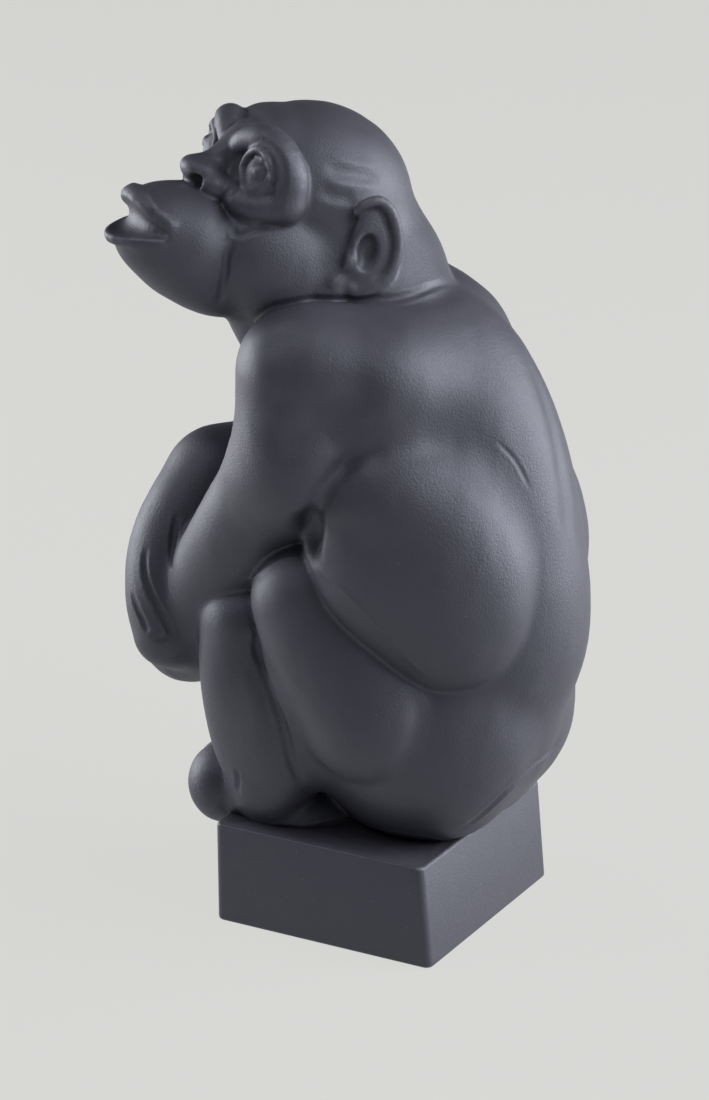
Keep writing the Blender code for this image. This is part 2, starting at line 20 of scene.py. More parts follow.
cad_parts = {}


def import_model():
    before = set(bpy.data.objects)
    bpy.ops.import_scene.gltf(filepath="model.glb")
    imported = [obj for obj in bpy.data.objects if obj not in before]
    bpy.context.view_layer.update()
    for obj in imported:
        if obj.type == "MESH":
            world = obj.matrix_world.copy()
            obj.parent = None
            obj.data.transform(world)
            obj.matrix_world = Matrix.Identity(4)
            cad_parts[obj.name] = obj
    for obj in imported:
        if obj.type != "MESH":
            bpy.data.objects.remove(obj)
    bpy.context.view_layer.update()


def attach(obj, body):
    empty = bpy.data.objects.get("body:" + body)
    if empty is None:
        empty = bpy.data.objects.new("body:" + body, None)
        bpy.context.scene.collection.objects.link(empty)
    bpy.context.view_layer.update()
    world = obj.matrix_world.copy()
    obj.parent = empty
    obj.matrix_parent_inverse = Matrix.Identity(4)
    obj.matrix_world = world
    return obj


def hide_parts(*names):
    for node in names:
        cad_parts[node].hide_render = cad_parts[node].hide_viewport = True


log = logging.getLogger("chimpanzee")

MM = 0.001

# A tool's raised edge, as shares of its line's width: how far out it lies and how wide it is
LIP_PLACE = 1.7
LIP_WIDTH = 0.6

# How many joints of a line are measured at a time
STRETCH = 4

# Distance given to points that no mass comes near
FAR_AWAY = 50.0

# The steepest taper of a limb, as the change of its radius along its length
MOST_TAPER = 0.9

# The least square of a slope that a point is moved by
LEAST_STEEPNESS = 0.2

# The mesh's attribute for wear and painted shade: 1 on a rubbed edge, -1 in a crease, where shade is painted
# in
WEAR_AND_SHADE = "wear_and_shade"

Array = np.ndarray
Distance = Callable[[Array, float], Array]
Blend = Callable[[Array], Array]
Point = tuple[float, float, float]
Ball = tuple[float, float, float, float]
Colour = tuple[float, float, float]
Node = bpy.types.Node
Socket = bpy.types.NodeSocket
Inputs = dict[str | int, float | tuple | Socket]


class Kind(Enum):
    """What a step does to the clay laid before it."""

    ADD = 1
    CARVE = -1
    DRAW = 0


@dataclass(frozen=True)
class Egg:
    """An ellipsoid of clay, or a hollow scooped out of it."""

    centre: Point
    radii: Point
    blend: float
    hollow: bool = False

    def distance(self, place: Place) -> tuple[Array, Array, Distance]:
        """The box that the egg fills, and how far points are outside it.

        Args:
            place: Where the egg's centre and radii are measured.

        Returns:
            The box's lowest and highest corners, and the distance function.
        """
        centre = place.out(self.centre)
        radii = np.array(self.radii, np.float32)
        axes = place.axes.astype(np.float32)
        half = np.sqrt(((axes * radii[:, None]) ** 2).sum(axis=0))

        def outside(points: Array, _: float) -> Array:
            """Distances outside the ellipsoid."""
            local = (points - centre) @ axes.T
            near = np.linalg.norm(local / radii, axis=1)
            steepness = np.linalg.norm(local / radii**2, axis=1)
            return near * (near - 1) / np.maximum(steepness, 1e-6)

        return centre - half, centre + half, outside


@dataclass(frozen=True)
class Limb:
    """A round limb along a smooth curve through (x, y, z, radius) points, or a groove of that shape."""

    points: tuple[Ball, ...]
    blend: float
    hollow: bool = False

    def distance(self, place: Place) -> tuple[Array, Array, Distance]:
        """The box that the limb fills, and how far points are outside it.

        Args:
            place: Where the limb's points are measured.

        Returns:
            The box's lowest and highest corners, and the distance function.
        """
        chain = smooth_curve(self.points)
        joints = place.out(chain[:, :3]).astype(np.float32)
        radii = chain[:, 3].astype(np.float32)

        def outside(points: Array, _: float) -> Array:
            """Distances outside the limb."""
            return chain_distance(points, joints, radii)

        return (joints - radii[:, None]).min(axis=0), (joints + radii[:, None]).max(axis=0), outside


@dataclass(frozen=True)
class Line:
    """A line drawn into the clay, or a ridge where its depth is negative.

    lip is the height of a fine raised edge beside the line, as a tool leaves. fade is the share of its
    length over which the line runs out at either end.
    """

    points: tuple[Point, ...]
    width: float
    depth: float
    lip: float = 0.0
    fade: float = 0.25

    def strengths(self, joints: Array) -> Array:
        """How strong the line is at each joint, from nothing at its ends to 1.

        Args:
            joints: Points along the line.

        Returns:
            One strength a joint.
        """
        along = np.concatenate([[0], np.cumsum(np.linalg.norm(np.diff(joints, axis=0), axis=1))])
        rise = np.clip(np.minimum(along, along[-1] - along) / max(self.fade * along[-1], 1e-6), 0, 1)
        return (rise * rise * (3 - 2 * rise)).astype(np.float32)

    def change(self, joints: Array, reach: float) -> Distance:
        """How the line changes the surface.

        Args:
            joints: Points along it, settled on the surface.
            reach: How far from it the surface changes.

        Returns:
            A function from points to how far the surface sinks there.
        """
        strengths = self.strengths(joints)

        def sunk(points: Array, _: float) -> Array:
            """How far the surface sinks at each point."""
            far, strength = along_line(points, joints, strengths, reach)
            far = far / self.width
            lip = self.lip * np.exp(-(((far - LIP_PLACE) / LIP_WIDTH) ** 2))
            return strength * (self.depth * np.exp(-(far**2)) - lip)

        return sunk


@dataclass(frozen=True)
class Unevenness:
    """Slight waves in several directions, each as (direction, length of a wave, height, start).

    Starts are in radians, and so is twist, by which each wave is pushed along by the one before.
    """

    waves: tuple[tuple[Point, float, float, float], ...] = (
        ((0.8, 0.3, 0.5), 11.1, 0.02, 0.4),
        ((-0.4, 0.9, 0.3), 9.3, 0.018, 1.9),
        ((0.2, -0.6, 0.8), 14.7, 0.03, 3.1),
        ((0.7, 0.7, -0.2), 6.3, 0.01, 0.9),
    )
    twist: float = 1.3

    def change(self, points: Array, _: float) -> Array:
        """How far the surface sinks at each point."""
        total = np.zeros(len(points), np.float32)
        bend = 0.0
        for way, length, height, start in self.waves:
            turn = points @ (np.array(way, np.float32) * np.float32(2 * np.pi / length))
            bend = np.sin(turn + start + self.twist * bend)
            total += np.float32(height) * bend
        return total


class Place:
    """Where masses are laid: an origin and three axes, in the figure's own frame."""

    def __init__(self, origin: Point = (0, 0, 0), axes: Array = np.eye(3), left: int = 0) -> None:
        """Keeps the place.

        Args:
            origin: The place's origin.
            axes: Its three axes as rows.
            left: Which row points to the left.
        """
        self.origin = np.array(origin, float)
        self.axes = np.array(axes, float)
        self.left = left

    def tipped(self, origin: Point, turn_left: float, tip_up: float) -> Place:
        """A place inside this one, whose axes run forward, left and up.

        Args:
            origin: Its origin, measured in this place.
            turn_left: Degrees that it is turned to the left.
            tip_up: Degrees that it is tipped up.

        Returns:
            The new place.
        """
        turn, tip = np.radians([turn_left, tip_up])
        forward = np.array([np.sin(turn) * np.cos(tip), -np.cos(turn) * np.cos(tip), np.sin(tip)])
        left = np.array([np.cos(turn), np.sin(turn), 0.0])
        return Place(self.out(origin), np.array([forward, left, np.cross(forward, left)]), 1)

    def side(self, sign: int) -> Place:
        """This place for the left side (1), or its mirror image for the right side (-1)."""
        axes = self.axes.copy()
        axes[self.left] *= sign
        return Place(self.origin, axes, self.left)

    def out(self, points: Array | Point) -> Array:
        """Local points in the figure's own frame."""
        return self.origin + np.array(points, float) @ self.axes


@dataclass(frozen=True)
class Step:
    """One step of the work: the box that it can change, its shape and how softly it joins."""

    low: Array
    high: Array
    shape: Distance
    blend: float | Blend
    kind: Kind


class Clay:
    """Masses, laid in order, and the lines drawn into them."""

    def __init__(self) -> None:
        """Starts with nothing laid."""
        self.steps: list[Step] = []

    def lay(self, *masses: Egg | Limb, place: Place = Place()) -> None:
        """Lays eggs and limbs in order, or takes them away where they are hollow.

        Args:
            masses: The masses.
            place: Where they are measured.
        """
        for mass in masses:
            low, high, distance = mass.distance(place)
            kind = Kind.CARVE if mass.hollow else Kind.ADD
            self.steps.append(Step(low - mass.blend, high + mass.blend, distance, mass.blend, kind))

    def lay_pairs(self, *masses: Egg | Limb, place: Place = Place()) -> None:
        """Lays each mass on the left side, and its mirror image on the right.

        Args:
            masses: The masses, as they are on the left.
            place: Where they are measured.
        """
        for mass in masses:
            for sign in (1, -1):
                self.lay(mass, place=place.side(sign))

    def join(self, other: Clay, blend: float | Blend) -> None:
        """Adds another body of clay as one mass.

        Args:
            other: The clay to add.
            blend: How softly it meets this clay, which may depend on the height.
        """
        low = np.min([step.low for step in other.steps], axis=0)
        high = np.max([step.high for step in other.steps], axis=0)
        self.steps.append(Step(low, high, other.distance, blend, Kind.ADD))

    def draw(self, *lines: Line, place: Place = Place()) -> None:
        """Draws lines in order. Each one's points are settled onto the surface first.

        Args:
            lines: The lines.
            place: Where their points are measured.
        """
        for line in lines:
            joints = settled(self.distance, place.out(smooth_curve(line.points)))
            reach = 3 * line.width
            low, high = joints.min(axis=0) - reach, joints.max(axis=0) + reach
            self.steps.append(Step(low, high, line.change(joints, reach), 0.0, Kind.DRAW))

    def draw_pairs(self, *lines: Line, place: Place = Place()) -> None:
        """Draws each line on the left side, and its mirror image on the right.

        Args:
            lines: The lines, as they are on the left.
            place: Where their points are measured.
        """
        for line in lines:
            for sign in (1, -1):
                self.draw(line, place=place.side(sign))

    def work(self, unevenness: Unevenness) -> None:
        """Leaves the surface as uneven as hands and tools do.

        Args:
            unevenness: How uneven it is.
        """
        everywhere = np.full(3, FAR_AWAY * 10)
        self.steps.append(Step(-everywhere, everywhere, unevenness.change, 0.0, Kind.DRAW))

    def distance(self, points: Array, reach: float = 2.0) -> Array:
        """How far each point is outside the clay.

        Args:
            points: Points, one a row.
            reach: The distances are right for points that lie this near the surface.

        Returns:
            One distance a point, negative inside.
        """
        points = np.asarray(points, np.float32)
        total = np.full(len(points), FAR_AWAY, np.float32)
        for step in self.steps:
            margin = 0.0 if step.kind is Kind.DRAW else reach
            near = ((points > step.low - margin) & (points < step.high + margin)).all(axis=1).nonzero()[0]
            if not len(near):
                continue
            value = step.shape(points[near], reach)
            softness = step.blend(points[near, 2]) if callable(step.blend) else step.blend
            if step.kind is Kind.ADD:
                total[near] = soft_min(total[near], value, softness)
            elif step.kind is Kind.CARVE:
                total[near] = -soft_min(-total[near], value, softness)
            else:
                total[near] += value
        return total


def smooth_curve(points: tuple | Array, spacing: float = 1.6) -> Array:
    """Points along a smooth curve through the given ones, with any radii carried as a last column.

    Args:
        points: The points that the curve runs through.
        spacing: About how far apart the new points are.

    Returns:
        The points, one a row.
    """
    knots = np.array(points, float)
    ends = np.vstack([2 * knots[0] - knots[1], knots, 2 * knots[-1] - knots[-2]])
    found = []
    for before, first, second, after in zip(ends, ends[1:], ends[2:], ends[3:]):
        pieces = max(3, int(np.linalg.norm(second[:3] - first[:3]) / spacing))
        for t in np.arange(pieces) / pieces:
            bend = 2 * first + (second - before) * t + (2 * before - 5 * first + 4 * second - after) * t**2
            found.append((bend + (3 * first - before - 3 * second + after) * t**3) / 2)
    return np.vstack([found, knots[-1:]])


def chain_distance(points: Array, joints: Array, radii: Array) -> Array:
    """Measures points against a chain of balls, drawn smoothly from joint to joint.

    Args:
        points: Points, one a row.
        joints: The middles of the balls, in order.
        radii: Their radii.

    Returns:
        How far each point is outside the chain.
    """
    best = np.full(len(points), np.inf, np.float32)
    for start, end, first, second in zip(joints, joints[1:], radii, radii[1:]):
        length = np.linalg.norm(end - start)
        taper = np.clip((second - first) / length, -MOST_TAPER, MOST_TAPER)
        from_start = points - start
        along = from_start @ ((end - start) / length)
        aside = np.sqrt(np.maximum((from_start * from_start).sum(axis=1) - along * along, 0))
        nearest = np.clip(along + aside * taper / np.sqrt(1 - taper * taper), 0, length)
        best = np.minimum(best, np.hypot(aside, along - nearest) - first - taper * nearest)
    return best


def along_line(points: Array, joints: Array, strengths: Array, reach: float) -> tuple[Array, Array]:
    """Measures points against a line.

    Args:
        points: Points, one a row.
        joints: Points along the line.
        strengths: The line's strength at each of them.
        reach: How far from the line the distances have to be right.

    Returns:
        How far each point is from the line, and the line's strength where it is nearest.
    """
    best = np.full(len(points), FAR_AWAY, np.float32)
    found = np.zeros(len(points), np.float32)
    for at in range(0, len(joints) - 1, STRETCH):
        low = joints[at : at + STRETCH + 1].min(axis=0) - reach
        high = joints[at : at + STRETCH + 1].max(axis=0) + reach
        near = ((points > low) & (points < high)).all(axis=1).nonzero()[0]
        for first in range(at, min(at + STRETCH, len(joints) - 1)) if len(near) else ():
            way = joints[first + 1] - joints[first]
            off = points[near] - joints[first]
            share = np.clip((off * way).sum(axis=1) / max(float(way @ way), 1e-9), 0, 1)
            far = np.linalg.norm(off - share[:, None] * way, axis=1)
            strength = strengths[first] + (strengths[first + 1] - strengths[first]) * share
            nearer = far < best[near]
            best[near[nearer]] = far[nearer]
            found[near[nearer]] = strength[nearer]
    return best, found


def across(*half: Ball) -> tuple[Ball, ...]:
    """A curve across the face.

    Args:
        half: Its points (forward, left, up, radius) from the left to the middle.

    Returns:
        Those points, and the mirror images of all but the middle one.
    """
    return half + tuple((forward, -left, up, radius) for forward, left, up, radius in half[-2::-1])


def softer_above(low_level: float, low_blend: float, high_level: float, high_blend: float) -> Blend:
    """A blend radius that grows with the height.

    Args:
        low_level: The height under which it is least.
        low_blend: The least radius.
        high_level: The height above which it is greatest.
        high_blend: The greatest radius.

    Returns:
        A function from heights to radii.
    """

    def blend(heights: Array) -> Array:
        """Radii at these heights."""
        return np.interp(heights, (low_level, high_level), (low_blend, high_blend)).astype(np.float32)

    return blend


def soft_min(first: Array, second: Array, blend: float | Array) -> Array:
    """The union of two distances, rounded where they meet.

    Args:
        first: Distances to one shape.
        second: Distances to the other.
        blend: How wide the rounding is.

    Returns:
        Distances to both.
    """
    near = np.maximum(blend - np.abs(first - second), 0) / blend
    return np.minimum(first, second) - near * near * blend / 4


def slope(distance: Distance, points: Array, step: float = 0.05) -> Array:
    """Which way the distance grows, and how fast.

    Args:
        distance: The distance function.
        points: Where to measure.
        step: How far apart the samples are.

    Returns:
        One gradient a point.
    """
    found = np.empty((len(points), 3), np.float32)
    for axis in range(3):
        shift = np.zeros(3, np.float32)
        shift[axis] = step
        found[:, axis] = (distance(points + shift) - distance(points - shift)) / (2 * step)
    return found


def settled(distance: Distance, points: Array, rounds: int = 4) -> Array:
    """Moves points onto the surface.

    Args:
        distance: The distance function.
        points: Points near the surface.
        rounds: How many times they are moved.

    Returns:
        The moved points.
    """
    points = np.array(points, np.float32)
    for _ in range(rounds):
        way = slope(distance, points)
        steep = np.maximum((way * way).sum(axis=1), LEAST_STEEPNESS)
        points = points - way * (distance(points) / steep)[:, None]
    return points


@dataclass(frozen=True)
class Wrapper:
    """Wraps clay in a mesh: samples it on a grid and puts one vertex in each cell that it crosses."""

    step: float
    cells_a_block: int = 4

    def sampled(self, distance: Distance, low: Array, high: Array) -> Array:
        """Distances on a grid, exact in the blocks near the surface and one rough value in each other block.

        Args:
            distance: The distance function.
            low: The grid's lowest corner.
            high: The corner that the grid has to reach.

        Returns:
            The grid of distances.
        """
        side = self.step * self.cells_a_block
        counts = np.ceil((high - low) / side).astype(int) + 1
        blocks = np.stack(np.meshgrid(*[np.arange(n) for n in counts], indexing="ij"), axis=-1).reshape(-1, 3)
        rough = distance(low + (blocks + 0.5) * side - self.step / 2, 3 * side).reshape(counts)
        near = np.argwhere(np.abs(rough) < 2 * side)
        values = rough
        for axis in range(3):
            values = values.repeat(self.cells_a_block, axis=axis)
        ticks = np.arange(self.cells_a_block)
        cells = np.stack(np.meshgrid(ticks, ticks, ticks, indexing="ij"), axis=-1).reshape(-1, 3)
        places = (near[:, None] * self.cells_a_block + cells).reshape(-1, 3)
        values[tuple(places.T)] = distance(low + places * self.step, 3 * self.step)
        return values

    @staticmethod
    def without_pinches(inside: Array) -> Array:
        """Fills the samples that would make the surface touch itself along an edge or at a point.

        Args:
            inside: A grid that says which samples are inside the clay.

        Returns:
            The grid with the gaps filled.
        """
        inside = inside.copy()
        changed = True
        while changed:
            changed = False
            for first, second in ((0, 1), (0, 2), (1, 2)):
                view = np.moveaxis(inside, (first, second), (0, 1))
                a, b, c, d = view[:-1, :-1], view[1:, :-1], view[:-1, 1:], view[1:, 1:]
                rising = a & d & ~b & ~c
                falling = b & c & ~a & ~d
                if rising.any() or falling.any():
                    b |= rising
                    a |= falling
                    changed = True
            for flip in ((1, 1, 1), (-1, 1, 1), (1, -1, 1), (1, 1, -1)):
                view = inside[:: flip[0], :: flip[1], :: flip[2]]
                corners = [
                    view[x : x - 1 or None, y : y - 1 or None, z : z - 1 or None]
                    for x in (0, 1)
                    for y in (0, 1)
                    for z in (0, 1)
                ]
                count = sum(corner.astype(np.int8) for corner in corners)
                pair = (count == 2) & corners[0] & corners[7]
                gap = (count == 6) & ~corners[0] & ~corners[7]
                if pair.any() or gap.any():
                    corners[1] |= pair
                    corners[0] |= gap
                    changed = True
        return inside

    def wrapped(self, clay: Clay) -> tuple[Array, Array]:
        """Wraps the clay.

        Args:
            clay: The clay.

        Returns:
            The mesh's vertices and its quads.
        """
        margin = 2 * self.step
        masses = [step for step in clay.steps if step.kind is Kind.ADD]
        low = np.min([mass.low for mass in masses], axis=0) - margin
        high = np.max([mass.high for mass in masses], axis=0) + margin
        values = self.sampled(clay.distance, low, high)
        inside = self.without_pinches(values < 0)
        least = self.step / 50
        values = np.where(inside, np.minimum(values, -least), np.maximum(values, least))
        shape = np.array(inside.shape) - 1
        corners = [(x, y, z) for x in (0, 1) for y in (0, 1) for z in (0, 1)]
        windows = [tuple(slice(c, c + n) for c, n in zip(corner, shape)) for corner in corners]
        count = sum(inside[window].astype(np.int8) for window in windows)
        cells = np.argwhere((count > 0) & (count < 8))
        total = np.zeros((len(cells), 3))
        hits = np.zeros(len(cells))
        for corner in corners:
            for axis in range(3):
                if corner[axis]:
                    continue
                other = np.array(corner)
                other[axis] = 1
                here = values[tuple((cells + corner).T)]
                there = values[tuple((cells + other).T)]
                crosses = (here < 0) != (there < 0)
                share = np.where(crosses, here / np.where(crosses, here - there, 1), 0)
                point = np.array(corner) + share[:, None] * (other - corner)
                total += point * crosses[:, None]
                hits += crosses
        vertices = low + (cells + total / hits[:, None]) * self.step
        return settled(clay.distance, vertices, 2), self.quads(inside, cells)

    @staticmethod
    def quads(inside: Array, cells: Array) -> Array:
        """Joins the vertices of the cells round each grid edge that the surface crosses.

        Args:
            inside: The grid that says which samples are inside.
            cells: The cells that hold a vertex.

        Returns:
            Four vertex numbers a quad.
        """
        shape = np.array(inside.shape) - 1
        number = np.full(shape, -1)
        number[tuple(cells.T)] = np.arange(len(cells))
        found = []
        for axis in range(3):
            ahead = np.roll([1, 0, 0], axis)
            second, third = np.roll(np.eye(3, dtype=int), -axis, axis=0)[1:]
            start = inside[tuple(slice(0, n) for n in shape)]
            end = inside[tuple(slice(a, a + n) for a, n in zip(ahead, shape))]
            for leaving in (True, False):
                edges = np.argwhere((start & ~end) if leaving else (end & ~start))
                ring = [edges - second - third, edges - third, edges, edges - second]
                quad = np.stack([number[tuple(place.T)] for place in ring], axis=1)
                found.append(quad if leaving else quad[:, ::-1])
        return np.vstack(found)


@dataclass(frozen=True)
class Back:
    """Spine, rump and belly."""

    spine: Limb = Limb(
        (
            (-3, 3, 96, 14), (-2, 12, 91, 16.5), (-1, 18.5, 78, 18.3), (0, 22, 62, 19.4), (0, 23.5, 43, 19.7),
            (0, 18.5, 26, 18.2),
        ),
        5,
    )
    rump: Egg = Egg((0, 10, 25), (26, 27.5, 26), 3)
    belly: Egg = Egg((0, -6, 36), (15, 22, 32), 3)
    haunch: Egg = Egg((9.5, 15, 25), (15.5, 21.5, 23), 3)
    buttock: Egg = Egg((6, 10.5, 9.3), (12, 18, 11.6), 3)

    def lay(self) -> Clay:
        """The back in clay."""
        clay = Clay()
        clay.lay(self.spine, self.rump)
        clay.lay_pairs(self.haunch, self.buttock)
        clay.lay(self.belly)
        return clay


@dataclass(frozen=True)
class Trunk:
    """Ribs, shoulder blades and chest, which meet the back crisply at the flanks and softly above."""

    left_ribs_place: Point = (13.3, 16, 60)
    ribs_lean: float = -24
    left_ribs: Egg = Egg((0, 0, 0), (22, 17.2, 28.5), 5)
    right_ribs_place: Point = (13.3, 14.2, 60.5)
    right_ribs: Egg = Egg((0, 0, 0), (22, 15.8, 28), 5)
    rib_edge: Limb = Limb(((21, 12, 75, 7), (21.3, 8, 71, 8), (20.5, 7, 65, 8), (20, 9, 58, 8)), 10)
    left_shoulder_blade: Egg = Egg((10, 5, 92), (18, 18, 16), 5)
    right_shoulder_blade: Egg = Egg((-14, 2, 92), (16, 18, 16), 5)
    chest: Egg = Egg((0, -5, 78), (22, 18, 26), 5)

    def lay(self) -> Clay:
        """The trunk in clay."""
        clay = Clay()
        clay.lay(self.left_ribs, place=Place().tipped(self.left_ribs_place, 0, self.ribs_lean))
        right = Place().side(-1).tipped(self.right_ribs_place, 0, self.ribs_lean)
        clay.lay(self.right_ribs, place=right)
        clay.lay_pairs(self.rib_edge)
        clay.lay(self.left_shoulder_blade, self.right_shoulder_blade, self.chest)
        return clay


@dataclass(frozen=True)
class Legs:
    """Thighs, shins and feet, the toes hanging over the block's front edge."""

    thigh: Limb = Limb(
        (
            (14.5, 8.5, 29.5, 17.3), (15.6, 4.5, 35.5, 16.3), (17.2, -0.5, 42.5, 14.6),
            (18.2, -4.2, 49.5, 12.9),
        ),
        0.8,
    )
    shin: Limb = Limb(
        ((16, -20, 41, 10.5), (16, -20, 30, 10.8), (16, -19, 18, 9.8), (16, -16.5, 7, 7.8)),
        0.8,
    )
    calf: Egg = Egg((17.3, -11.2, 22.5), (10.1, 9, 17), 6)
    instep: Limb = Limb(((16, -14, 5, 6), (14, -22, 5, 7)), 1.2)
    heel: Limb = Limb(((16, -16, 2.5, 5.5), (14, -8, 1, 5), (9, -3, 0, 4)), 1.2)
    toes: Egg = Egg((12, -28.5, 4), (9.5, 8, 8.6), 1)

    def lay(self, figure: Clay) -> None:
        """Lays both legs.

        Args:
            figure: The clay that they are pressed into.
        """
        leg = (self.thigh, self.shin, self.calf, self.instep, self.heel, self.toes)
        for sign in (1, -1):
            figure.lay(*leg, place=Place().side(sign))


@dataclass(frozen=True)
class Arms:
    """Arms round the knees, the right hand hung over the left wrist."""

    left_upper_arm: Limb = Limb(((19, -5, 95, 14), (20, -6, 86, 12.8), (21, -6, 77, 12)), 3)
    left_forearm: Limb = Limb(
        (
            (21, -4, 79, 11.4), (19, -11.5, 72.5, 11), (16.5, -20, 60.7, 10.8), (12.3, -29, 47.7, 10.6),
            (8.5, -35.7, 35.5, 10.2),
        ),
        7,
    )
    left_hand: Limb = Limb(((8.5, -35.7, 35.5, 10.2), (6, -40.5, 30.7, 9.4), (3, -44.5, 29.3, 8.8)), 2)
    right_upper_arm: Limb = Limb(((-20, -5, 94, 14), (-23, -8, 82, 12), (-24, -11, 70, 11)), 3)
    right_forearm: Limb = Limb(
        (
            (-24, -11, 68, 11), (-18, -22, 66, 10.5), (-9, -32, 63.7, 10.2), (-1.5, -38.1, 62.3, 10.3),
        ),
        6,
    )
    right_hand: Limb = Limb(
        (
            (-1.5, -38.1, 62.3, 10.3), (4.3, -40.6, 56.6, 9.8), (9.1, -42.3, 49.7, 9.2),
            (12.9, -41.7, 42.2, 8.5), (15.5, -39.7, 35, 7.4),
        ),
        2,
    )
    elbow_hollow: Egg = Egg((29, 0.6, 66.2), (3.6, 2.2, 4.6), 3, True)

    def lay(self, figure: Clay, blend: Blend) -> None:
        """Lays both arms.

        Args:
            figure: The clay that they are pressed into.
            blend: How softly they meet it at each height.
        """
        right = (self.right_upper_arm, self.right_forearm)
        left = (self.left_upper_arm, self.left_forearm, self.left_hand)
        for masses in (right, left):
            arm = Clay()
            arm.lay(*masses)
            figure.join(arm, blend)
        figure.lay(self.right_hand)
        figure.lay_pairs(self.elbow_hollow)


